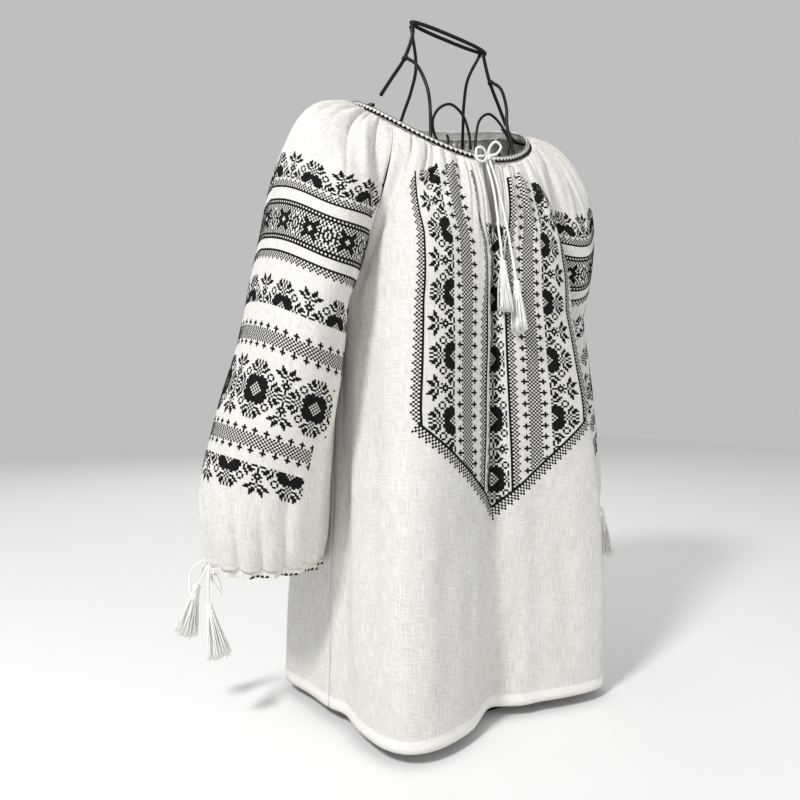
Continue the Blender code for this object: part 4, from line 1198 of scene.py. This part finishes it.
def band_offset(w, s):
    """How much lower than the neckline's own curve a band's row counts, towards the front and back."""
    side = np.abs(w - 0.5) * 2
    ends = 0.044 * side**2.2
    sag = 0.020 * bump((side - 0.42) / 0.26) * np.interp(s, (0.9, 1.2, 1.6), (1.0, 0.6, 0.25))
    return ends - sag


def make_sleeve_embroidery(cloth, label, material):
    parts = []
    level = cloth.depths + band_offset(cloth.across, cloth.down)
    for name, start, half_width, phase in SLEEVE_BANDS:
        pattern = chart(name)
        count = pattern.shape[0]
        columns = int(round(2 * half_width / CELL))
        places = (np.arange(columns + 1) - columns / 2) * CELL
        a = np.empty((count + 1, columns + 1))
        s = np.empty_like(a)
        for i in range(count + 1):
            row = start + i * CELL
            down = np.array([np.interp(row, level[:, j], cloth.s) for j in range(len(cloth.a))])
            line = cloth.surface(cloth.a, down)
            length = np.concatenate([[0], np.cumsum(np.linalg.norm(np.diff(line, axis=0), axis=1))])
            length -= np.interp(0.5, cloth.a, length)
            # Places are counted towards the front, where w falls
            a[i] = np.interp(-places, length, cloth.a)
            s[i] = np.interp(a[i], cloth.a, down)
        first = int(round((phase + columns / 2 * CELL) / CELL))
        filled = tiled(pattern, count, columns, column_start=-first)
        low = cloth.at(a, s, STITCH_FOOT)
        high = cloth.at(a, s, STITCH_HEIGHT)
        parts.append(crosses(low, high, filled, -cloth.facing))
    points, faces = merged(parts)
    name = f"embroidery_sleeve_{label}"
    return add_piece(name, points, faces, material, smooth=False)


def frames_along(path):
    """Two directions across a path at each of its points, carried along with no twist."""
    path = np.asarray(path, float)
    ahead = unit(np.gradient(path, axis=0))
    side = np.cross(ahead[0], (0.31, 0.17, 0.93))
    sides = []
    for direction in ahead:
        side = side - direction * (side @ direction)
        side = side / np.linalg.norm(side)
        sides.append(side)
    sides = np.array(sides)
    return sides, np.cross(ahead, sides)


def tube(path, radius, sides=12, lobes=0, pitch=CORD_PITCH, closed=False):
    """A round wire or thread along a path, or a twisted cord where it has lobes."""
    path = np.asarray(path, float)
    side, third = frames_along(path)
    along = np.concatenate([[0], np.cumsum(np.linalg.norm(np.diff(path, axis=0), axis=1))])
    angle = 2 * np.pi * np.arange(sides) / sides
    size = np.broadcast_to(np.asarray(radius, float), (len(path),))[:, None]
    if lobes:
        wave = np.abs(np.sin(lobes / 2 * (angle[None] - 2 * np.pi * along[:, None] / pitch)))
        size = size * (0.86 + 0.26 * wave)
    rings = side[:, None] * np.cos(angle)[:, None] + third[:, None] * np.sin(angle)[:, None]
    points = (path[:, None] + rings * np.broadcast_to(size, (len(path), sides))[..., None]).reshape(-1, 3)
    faces = []
    spans = len(path) if closed else len(path) - 1
    for i in range(spans):
        for j in range(sides):
            a, b = i * sides + j, i * sides + (j + 1) % sides
            c, d = (a + sides) % len(points), (b + sides) % len(points)
            faces.append((a, b, d, c))
    if not closed:
        faces.append(tuple(range(sides))[::-1])
        faces.append(tuple(range(len(points) - sides, len(points))))
    return points, faces


def joined_shapes(shapes):
    """Shapes with faces of any number of corners, as one."""
    points, faces, first = [], [], 0
    for own_points, own_faces in shapes:
        points.append(own_points)
        faces += [tuple(i + first for i in face) for face in own_faces]
        first += len(own_points)
    return np.concatenate(points), faces


def dense(points, spacing):
    """A smooth path through some points, with about the given spacing."""
    path = smooth_path(points, 12)
    along = np.concatenate([[0], np.cumsum(np.linalg.norm(np.diff(path, axis=0), axis=1))])
    at = np.linspace(0, along[-1], max(3, int(along[-1] / spacing)))
    return np.stack([np.interp(at, along, path[:, k]) for k in range(3)], axis=1)


def rope(points):
    return tube(dense(points, 0.0006), CORD_RADIUS, 14, lobes=3)


def turned(centre, axis, profile, sides=20):
    """A turned shape along an axis, from pairs of distance and radius."""
    path = np.array([centre + axis * distance for distance, radius in profile])
    return tube(path, [radius for distance, radius in profile], sides)


def knot_shape(centre, size):
    """A knot: one cord wound over itself twice and a half."""
    t = np.linspace(0, 2 * np.pi, 60, endpoint=False)
    path = stack(np.sin(t) + 2 * np.sin(2 * t), 0.8 * np.sin(3 * t), np.cos(t) - 2 * np.cos(2 * t))
    return tube(np.array(centre) + path * size, CORD_RADIUS * 0.95, 10, lobes=3, closed=True)


def tassel_shape(head, direction, size, seed):
    """A wound head over a skirt of soft threads, which part and lie unevenly."""
    axis = np.array(direction, float)
    axis /= np.linalg.norm(axis)
    side = np.cross(axis, (0.0, 1.0, 0.1))
    side /= np.linalg.norm(side)
    third = np.cross(axis, side)
    profile = [(0.0, 0.0007), (0.0004, 0.0018), (0.0012, 0.0034), (0.0024, 0.0041), (0.0038, 0.0038)]
    profile += [(0.0046 + 0.0005 * i, 0.0034 + 0.0003 * (i % 2)) for i in range(8)]
    profile += [(0.0092, 0.0040), (0.0110, 0.0043), (0.0122, 0.0030)]
    shapes = [turned(head, axis, profile)]
    draw = np.random.default_rng(seed)
    root = head + axis * TASSEL_ROOT
    for number in range(TASSEL_THREADS):
        turn = 2.399963 * number
        out = math.sqrt((number + 0.5) / TASSEL_THREADS)
        across = side * math.cos(turn) + third * math.sin(turn)
        length = size["length"] * draw.uniform(0.90, 1.02)
        reach = 0.0040 * size["spread"] * 0.86 * out
        sway = (side * draw.normal() + third * draw.normal()) * 0.0012
        start = root + across * 0.0036 * out
        middle = root + axis * length * 0.45 + across * (0.0036 + reach * 0.42) * out + sway
        end = root + axis * length + across * (0.0036 * out + reach) + sway * 0.6
        path = smooth_path(np.array([start, (start * 2 + middle) / 3, middle, end]), 3)
        shapes.append(tube(path, THREAD_RADIUS, 4))
    return joined_shapes(shapes)


def make_neckband(linen, thread):
    def surface(a, s):
        return neckband_path(a, NECKBAND_HEIGHT * (1 - np.asarray(s, float)))

    a = np.linspace(NECKBAND_GAP_DEG, 360 - NECKBAND_GAP_DEG, 460)
    cloth = Cloth(surface, a, np.linspace(0, 1, 13), 1.0)
    cloth.relief = NECKBAND_WALL / 2 * (0.72 + 0.28 * np.sin(np.pi * cloth.down))
    cloth.finish()
    band = add_cloth("neck_trim_band", [cloth], linen, ["neckband"])
    band.modifiers["wall"].thickness = NECKBAND_WALL * 0.75
    parts = trim_stitches(cloth, TRIM, TRIM_CELL, 0.04, 0.97)
    points, faces = merged([parts])
    return band, add_piece("neck_trim_stitches", points, faces, thread, smooth=False)


def trim_stitches(cloth, text, cell, top, bottom, worked=None):
    """A narrow trim of small stitches along a band, between two of its levels, on the worked part."""
    cells = np.array([[mark == "#" for mark in row] for row in text])
    middle = cloth.widths[len(cloth.s) // 2]
    count = int(middle[-1] / cell)
    places = np.interp(np.linspace(0, middle[-1], count + 1), middle, cloth.a)
    a, s = np.meshgrid(places, np.linspace(top, bottom, len(text) + 1))
    marks = tiled(cells, len(text), count)
    if worked is not None:
        marks = marks & (np.interp((places[1:] + places[:-1]) / 2, cloth.a, worked) > 0.5)
    return stitched(cloth, a, s, marks)


def make_cuff(name, label, linen, thread):
    def surface(a, s):
        lift = (CUFF_BAND_LIFT + CUFF_BAND_HEIGHT) * np.asarray(s, float)
        return cuff_ring(name, a, lift[..., None])

    cloth = Cloth(surface, np.linspace(0, 1, 281), np.linspace(0, 1, 19), -1.0 if name == "R" else 1.0)
    turns = 2 * np.pi * SLEEVE_GATHERS * cloth.across
    wave = np.cos(turns + 0.5 * np.sin(3.0 * turns / SLEEVE_GATHERS))
    pinch = 1 - 0.55 * bump((cloth.down - 0.30) / 0.22)
    wave = wave + 0.5 * np.cos(2.0 * turns + 1.0) * cloth.down
    cloth.relief = 0.0012 + CUFF_WAVE * wave * pinch - 0.0010 * bump((cloth.down - 0.30) / 0.10)
    cloth.finish()
    ends = (cloth.points[:, 0] + cloth.points[:, -1]) / 2
    cloth.points[:, 0] = cloth.points[:, -1] = ends
    cuff = add_cloth(f"cuff_casing_{label}", [cloth], linen, [f"cuff_{label}"])
    # The picots show in short runs, on the half of the edge towards the front and the body
    edge = cloth.points[-1]
    body_side = 1 if name == "R" else -1
    inwards = body_side * PICOT_FACING[0] * edge[:, 0] + PICOT_FACING[1] * edge[:, 1]
    reach = (inwards - inwards.min()) / (inwards.max() - inwards.min())
    runs = np.sin(2 * np.pi * PICOT_RUNS * cloth.a + 1.5 * np.sin(9.0 * cloth.a)) > -0.45
    worked = (runs & (reach > PICOT_START)).astype(float)
    points, faces = merged([trim_stitches(cloth, PICOT, PICOT_CELL, *PICOT_LEVELS, worked)])
    return cuff, add_piece(f"cuff_picots_{label}", points, faces, thread, smooth=False)


def add_cord(label, path, head, hang, size, seed, material, node):
    """A free end of a tie with its tassel. It returns the cord's path and node where the cord is too
    short for a piece of its own, and its tassel.
    """
    points, faces = tassel_shape(head, hang, size, seed)
    tassel = add_piece(f"tassel_{label}", points, faces, material)
    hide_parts(f"{node}_tassel_{label.split('_', 1)[1]}")
    # The cord runs on a little way into the head wound round it
    line = dense(np.concatenate([path, [head + unit(np.array(hang, float)) * 0.0065]]), 0.0006)
    length = float(np.linalg.norm(np.diff(line, axis=0), axis=1).sum())
    cord_node = f"{node}_cord_{label.split('_', 1)[1]}"
    if length < SHORTEST_CORD:
        return (line, cord_node), tassel
    points, faces = tube(line, CORD_RADIUS, 14, lobes=3)
    cord = add_piece(f"cord_{label}", points, faces, material)
    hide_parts(cord_node)
    return None, tassel


def make_neck_tie(material):
    shapes = [knot_shape(NECK_KNOT, 0.00120)]
    shapes += [rope(np.array([NECK_KNOT, *loop, NECK_KNOT])) for loop in NECK_LOOPS]
    for side in (-1, 1):
        degrees = np.array((NECKBAND_GAP_DEG, NECKBAND_GAP_DEG + 2.0)) * side
        end, beyond = neckband_path(degrees, NECKBAND_HEIGHT / 2)
        inside = end + (beyond - end) * 0.6
        shapes.append(rope(np.array([NECK_KNOT, np.array(NECK_KNOT) * 0.4 + end * 0.6, end, inside])))
    for number, (x_top, drop, x_end, z_end) in enumerate(NECK_CORDS):
        share = np.linspace(0, 1, 11)
        z = NECK_KNOT[2] - drop + (z_end - NECK_KNOT[2] + drop) * share
        x = x_top + (x_end - x_top) * share**1.1
        y = np.array([front_skin(a, b) for a, b in zip(x, z)]) - CLOTH_WALL / 2 - CORD_RADIUS - SEAM_GAP
        y = np.minimum.accumulate(y) - 0.0032 * share
        y[0] = NECK_KNOT[1]
        path = stack(x, y, z)
        head = path[-1] + (0.0, -0.0010, -SEAM_GAP - 0.0002)
        label = f"neck_{'ab'[number]}"
        add_cord(label, path, head, NECK_TASSEL_HANG, NECK_TASSEL, 11 + number, material, "neck")
    points, faces = joined_shapes(shapes)
    bow = add_piece("bow_neck", points, faces, material)
    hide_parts("neck_bow")


def make_cuff_tie(name, side_label, material):
    w = CUFF_KNOT_TURN[name]
    middle = cuff_ring(name, w, CUFF_BAND_LIFT + CUFF_BAND_HEIGHT / 2)
    centre = cuff_ring(name, np.arange(20) / 20, 0.0).mean(axis=0)
    out = middle - centre
    out[2] = 0.0
    out /= np.linalg.norm(out)
    knot = middle + out * (CUFF_BAND_WALL / 2 + CUFF_KNOT_SIZE[1])
    out = np.array((*CUFF_BOW_FACING[name], 0.0))
    along = np.array((out[1], -out[0], 0.0))

    def place(a, b, c):
        return knot + along * a + out * b + np.array((0.0, 0.0, c))

    shapes = [knot_shape(knot, 0.00115)]
    for loop in CUFF_LOOPS:
        shapes.append(rope(np.array([knot, *[place(*point) for point in loop], knot])))
    nodes = [f"cuff_bow_{side_label}"]
    for number, (a, b, c, lean_along, lean_out, bow) in enumerate(CUFF_ENDS[name]):
        if bow:
            start = place(math.copysign(0.0014, a), 0.0042, -0.0016)
        else:
            start = place(math.copysign(0.0041, a), -0.0006, -0.0018)
        end = place(a, b, c)
        over = start + (end - start) * (0.3, 0.3, 0.10) + out * bow
        path = smooth_path([start, over, end * 0.6 + start * 0.4 + out * bow, end], 3)
        head = path[-1] + np.array((0.0, 0.0, -SEAM_GAP - 0.0005))
        lean = along * lean_along + out * lean_out
        hang = (lean[0], lean[1], -1.0)
        label = f"cuff_{side_label}_{'ab'[number]}"
        seed = 21 + number + (5 if name == "L" else 0)
        short, _ = add_cord(label, path, head, hang, CUFF_TASSEL, seed, material, "cuff")
        if short:
            # A tie too short to be a piece of its own goes with its bow
            line, cord_node = short
            shapes.append(tube(line, CORD_RADIUS, 14, lobes=3))
            nodes.append(cord_node)
    points, faces = joined_shapes(shapes)
    bow = add_piece(f"bow_cuff_{side_label}", points, faces, material)
    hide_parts(*nodes)


def add_wire(name, path, radius, material, node, closed=False):
    points, faces = tube(path, radius, 14, closed=closed)
    piece = add_piece(f"wire_{name}", points, faces, material)
    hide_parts(node)


def make_form(material):
    """The form's wires that show in the neck, smooth and welded; the hidden ones keep their solids."""
    ring = TOP_RING
    t = 2 * np.pi * np.arange(140) / 140
    x = np.sign(np.cos(t)) * np.abs(np.cos(t)) ** 0.72 * ring["half_width"]
    path = stack(FORM_X + x, ring["y"] + np.sin(t) * ring["half_depth"], ring["z"] + ring["tilt"] * x)
    add_wire("top_ring", path, WIRE_RADIUS, material, "form_top_ring", closed=True)
    welds = []
    for label, side in (("right", -1), ("left", 1)):
        path = on_side(SHOULDER_WIRE, side)
        path[0, 2] += ring["tilt"] * (path[0, 0] - FORM_X)
        welds.append((path[0] + (0.0, 0.0, 0.0010), 0.0034))
        welds.append((on_side(SHOULDER_WIRE[2:3], side)[0], 0.0033))
        path = smooth_path(path, 12)
        add_wire(f"shoulder_{label}", path, WIRE_RADIUS, material, f"form_shoulder_wire_{label}")
        for kind, table, degrees in (("front", FRONT_WIRE, 32.0), ("back", BACK_WIRE, 148.0)):
            upper = on_side(table, side)
            if table[0][2] > -0.01:
                upper[0, 2] += ring["tilt"] * (upper[0, 0] - FORM_X)
            welds.append((upper[0], 0.0026))
            lower = form_section(side * degrees, np.array(RIB_HEIGHTS))
            path = smooth_path(np.concatenate([upper, lower]), 8)
            add_wire(f"{kind}_rib_{label}", path, RIB_WIRE_RADIUS, material, f"form_{kind}_rib_{label}")
        path = smooth_path(on_side(SCROLL_WIRE, side), 8)
        add_wire(f"scroll_{label}", path, THIN_WIRE_RADIUS, material, f"form_scroll_{label}")
    shapes = []
    for centre, radius in welds:
        steps = np.linspace(-1, 1, 9)
        profile = [(radius * step, radius * math.sqrt(max(0.02, 1 - step**2))) for step in steps]
        shapes.append(turned(centre, np.array((0.0, 0.0, 1.0)), profile, 12))
    points, faces = joined_shapes(shapes)
    add_piece("wire_welds", points, faces, material)
    for name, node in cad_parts.items():
        if name.startswith("form_"):
            node.data.materials.clear()
            node.data.materials.append(material)


def new_material(name, colour, roughness, sheen=0.0, gloss=0.25):
    material = bpy.data.materials.new(name)
    material.use_nodes = True
    tree = material.node_tree
    shader = tree.nodes["Principled BSDF"]
    shader.inputs["Base Color"].default_value = (*colour, 1.0)
    shader.inputs["Roughness"].default_value = roughness
    shader.inputs["Sheen Weight"].default_value = sheen
    shader.inputs["Specular IOR Level"].default_value = gloss
    return material, tree, shader


def node_of(tree, kind, **settings):
    node = tree.nodes.new(kind)
    for key, value in settings.items():
        setattr(node, key, value)
    return node


def maths(tree, operation, first, second=None):
    node = node_of(tree, "ShaderNodeMath", operation=operation)
    for socket, value in zip(node.inputs, (first, second)):
        if isinstance(value, bpy.types.NodeSocket):
            tree.links.new(value, socket)
        elif value is not None:
            socket.default_value = value
    return node.outputs[0]


def noise(tree, vector, scale, detail=2.0, stretch=(1.0, 1.0, 1.0)):
    mapping = node_of(tree, "ShaderNodeMapping")
    mapping.inputs["Scale"].default_value = [scale * part for part in stretch]
    tree.links.new(vector, mapping.inputs["Vector"])
    texture = node_of(tree, "ShaderNodeTexNoise")
    texture.inputs["Scale"].default_value = 1.0
    texture.inputs["Detail"].default_value = detail
    tree.links.new(mapping.outputs["Vector"], texture.inputs["Vector"])
    return texture.outputs["Fac"]


def ramp(tree, value, stops):
    """A colour ramp from pairs of place and colour."""
    node = node_of(tree, "ShaderNodeValToRGB")
    elements = node.color_ramp.elements
    for element, (place, colour) in zip(elements, (stops[0], stops[-1])):
        element.position = place
        element.color = (*colour, 1.0)
    for place, colour in stops[1:-1]:
        element = elements.new(place)
        element.color = (*colour, 1.0)
    tree.links.new(value, node.inputs["Fac"])
    return node.outputs["Color"]


def bumped(tree, shader, height, distance, strength=1.0):
    node = node_of(tree, "ShaderNodeBump")
    node.inputs["Strength"].default_value = strength
    node.inputs["Distance"].default_value = distance
    tree.links.new(height, node.inputs["Height"])
    tree.links.new(node.outputs["Normal"], shader.inputs["Normal"])


def linen_material(name, stops):
    """Plain-woven linen: slubs run along both threads, over a fine even weave."""
    material, tree, shader = new_material(name, stops[1][1], 0.92, 0.12)
    threads = node_of(tree, "ShaderNodeUVMap", uv_map="threads").outputs["UV"]
    warp = noise(tree, threads, 1.0, 1.0, (1350.0, 52.0, 1.0))
    weft = noise(tree, threads, 1.0, 1.0, (75.0, 1600.0, 1.0))
    slubs = maths(tree, "ADD", maths(tree, "MULTIPLY", warp, 0.5), maths(tree, "MULTIPLY", weft, 0.5))
    colour = ramp(tree, slubs, stops)
    tree.links.new(colour, shader.inputs["Base Color"])
    split = node_of(tree, "ShaderNodeSeparateXYZ")
    tree.links.new(threads, split.inputs[0])
    across = maths(tree, "SINE", maths(tree, "MULTIPLY", split.outputs["X"], 2 * math.pi / WEAVE_PITCH))
    down = maths(tree, "SINE", maths(tree, "MULTIPLY", split.outputs["Y"], 2 * math.pi / WEAVE_PITCH))
    weave = maths(tree, "MULTIPLY", maths(tree, "MULTIPLY", across, down), 0.25)
    height = maths(tree, "ADD", maths(tree, "MULTIPLY", slubs, 2.2), weave)
    bumped(tree, shader, height, 0.00016)
    return material


def thread_material():
    """Stranded cotton, nearly black, with the sheen of its strands."""
    material, tree, shader = new_material("black_thread", (0.008, 0.008, 0.008), 0.85, 0.0, 0.12)
    place = node_of(tree, "ShaderNodeTexCoord").outputs["Object"]
    strands = noise(tree, place, 1500.0, 2.0)
    colour = ramp(tree, noise(tree, place, 420.0, 2.0), THREAD_STOPS)
    tree.links.new(colour, shader.inputs["Base Color"])
    bumped(tree, shader, strands, 0.00012)
    return material


def cord_material():
    """Soft white cotton yarn."""
    material, tree, shader = new_material("cotton_cord", (0.86, 0.85, 0.82), 0.88, 0.3)
    place = node_of(tree, "ShaderNodeTexCoord").outputs["Object"]
    colour = ramp(tree, noise(tree, place, 700.0, 2.0), CORD_STOPS)
    tree.links.new(colour, shader.inputs["Base Color"])
    bumped(tree, shader, noise(tree, place, 2600.0, 2.0), 0.00010)
    return material


def wire_material():
    """Iron wire under black paint that gathers a little unevenly."""
    material, tree, shader = new_material("black_paint", (0.006, 0.006, 0.007), 0.34)
    place = node_of(tree, "ShaderNodeTexCoord").outputs["Object"]
    colour = ramp(tree, noise(tree, place, 160.0, 3.0), WIRE_STOPS)
    tree.links.new(colour, shader.inputs["Base Color"])
    rough = node_of(tree, "ShaderNodeMapRange")
    rough.inputs["To Min"].default_value = 0.26
    rough.inputs["To Max"].default_value = 0.52
    tree.links.new(noise(tree, place, 240.0, 2.0), rough.inputs["Value"])
    tree.links.new(rough.outputs["Result"], shader.inputs["Roughness"])
    bumped(tree, shader, noise(tree, place, 900.0, 2.0), 0.00020, 0.5)
    return material


def add_light(name, place, target, size, power):
    data = bpy.data.lights.new(name, "AREA")
    data.shape = "DISK"
    data.size = size
    data.energy = power
    light = bpy.data.objects.new(name, data)
    light.location = place
    back = unit(np.array(place, float) - np.array(target, float))
    level = math.hypot(back[0], back[1])
    light.rotation_euler = (math.atan2(level, back[2]), 0.0, math.atan2(back[0], -back[1]))
    bpy.context.scene.collection.objects.link(light)


def make_stage():
    world = bpy.context.scene.world or bpy.data.worlds.new("world")
    bpy.context.scene.world = world
    world.use_nodes = True
    bpy.context.scene.view_settings.view_transform = "Standard"
    background = world.node_tree.nodes["Background"]
    background.inputs["Color"].default_value = (1.0, 1.0, 1.0, 1.0)
    background.inputs["Strength"].default_value = WORLD_STRENGTH
    material, tree, shader = new_material("pale_floor", FLOOR_COLOUR, 0.9)
    place = node_of(tree, "ShaderNodeTexCoord").outputs["Object"]
    bumped(tree, shader, noise(tree, place, 60.0), 0.0004, 0.2)
    mesh = bpy.data.meshes.new("floor")
    half = FLOOR_SIZE / 2
    corners = [(-half, -half, 0), (half, -half, 0), (half, half, 0), (-half, half, 0)]
    mesh.from_pydata(corners, [], [(0, 1, 2, 3)])
    mesh.materials.append(material)
    floor = bpy.data.objects.new("floor", mesh)
    bpy.context.scene.collection.objects.link(floor)
    for light in LIGHTS:
        add_light(*light)
    data = bpy.data.cameras.new("camera")
    data.sensor_width = 36.0
    data.lens = CAMERA["lens"]
    data.shift_x, data.shift_y = CAMERA["shift"]
    camera = bpy.data.objects.new("camera", data)
    camera.location = CAMERA["place"]
    camera.rotation_euler = (math.radians(90), 0.0, math.radians(CAMERA["turn_deg"]))
    bpy.context.scene.collection.objects.link(camera)
    bpy.context.scene.camera = camera


def declare_sheets(pieces):
    """Each piece with its cut before it was gathered. Only its lists of what it rests on and what goes
    with it are read, and nothing is done with them.
    """
    for piece, flat, held, rests_on, with_pieces in pieces:
        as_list(rests_on)
        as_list(with_pieces)


make_stage()
linen = linen_material("linen_weave", LINEN_STOPS)
linen_hem = linen_material("linen_hem", HEM_STOPS)
thread, cord, wire_paint = thread_material(), cord_material(), wire_material()
make_neck_tie(cord)
for cuff_name, cuff_label in (("R", "right"), ("L", "left")):
    make_cuff_tie(cuff_name, cuff_label, cord)
make_form(wire_paint)

halves = make_front_cloths()
front_piece = add_cloth("cloth_front", halves, linen, ["front"], linen_hem)
front_stitching = make_front_embroidery(halves, thread)
back_cloth_grid = make_back_cloth()
back_piece = add_cloth("cloth_back", [back_cloth_grid], linen, ["back"], linen_hem)
bars = ["form_shoulder_bar_right", "form_shoulder_bar_left"]
sheets = [
    (front_piece, FRONT_CUT, "gathered", bars, [front_stitching]),
    (back_piece, BACK_CUT, "gathered", bars, []),
]
for sleeve_name, side_label in (("R", "right"), ("L", "left")):
    grid = make_sleeve_cloth(sleeve_name)
    piece = add_cloth(f"cloth_sleeve_{side_label}", [grid], linen, [f"sleeve_{side_label}"])
    stitching = make_sleeve_embroidery(grid, side_label, thread)
    sheets.append((piece, SLEEVE_CUT, "gathered", [f"form_shoulder_bar_{side_label}"], [stitching]))
    casing_piece, picots = make_cuff(sleeve_name, side_label, linen, thread)
    sheets.append((casing_piece, CUFF_CUT, "gathered", [piece], [picots]))
band_piece, band_stitches = make_neckband(linen, thread)
sheets.append((band_piece, NECKBAND_CUT, "gathered", bars, [band_stitches]))
declare_sheets(sheets)
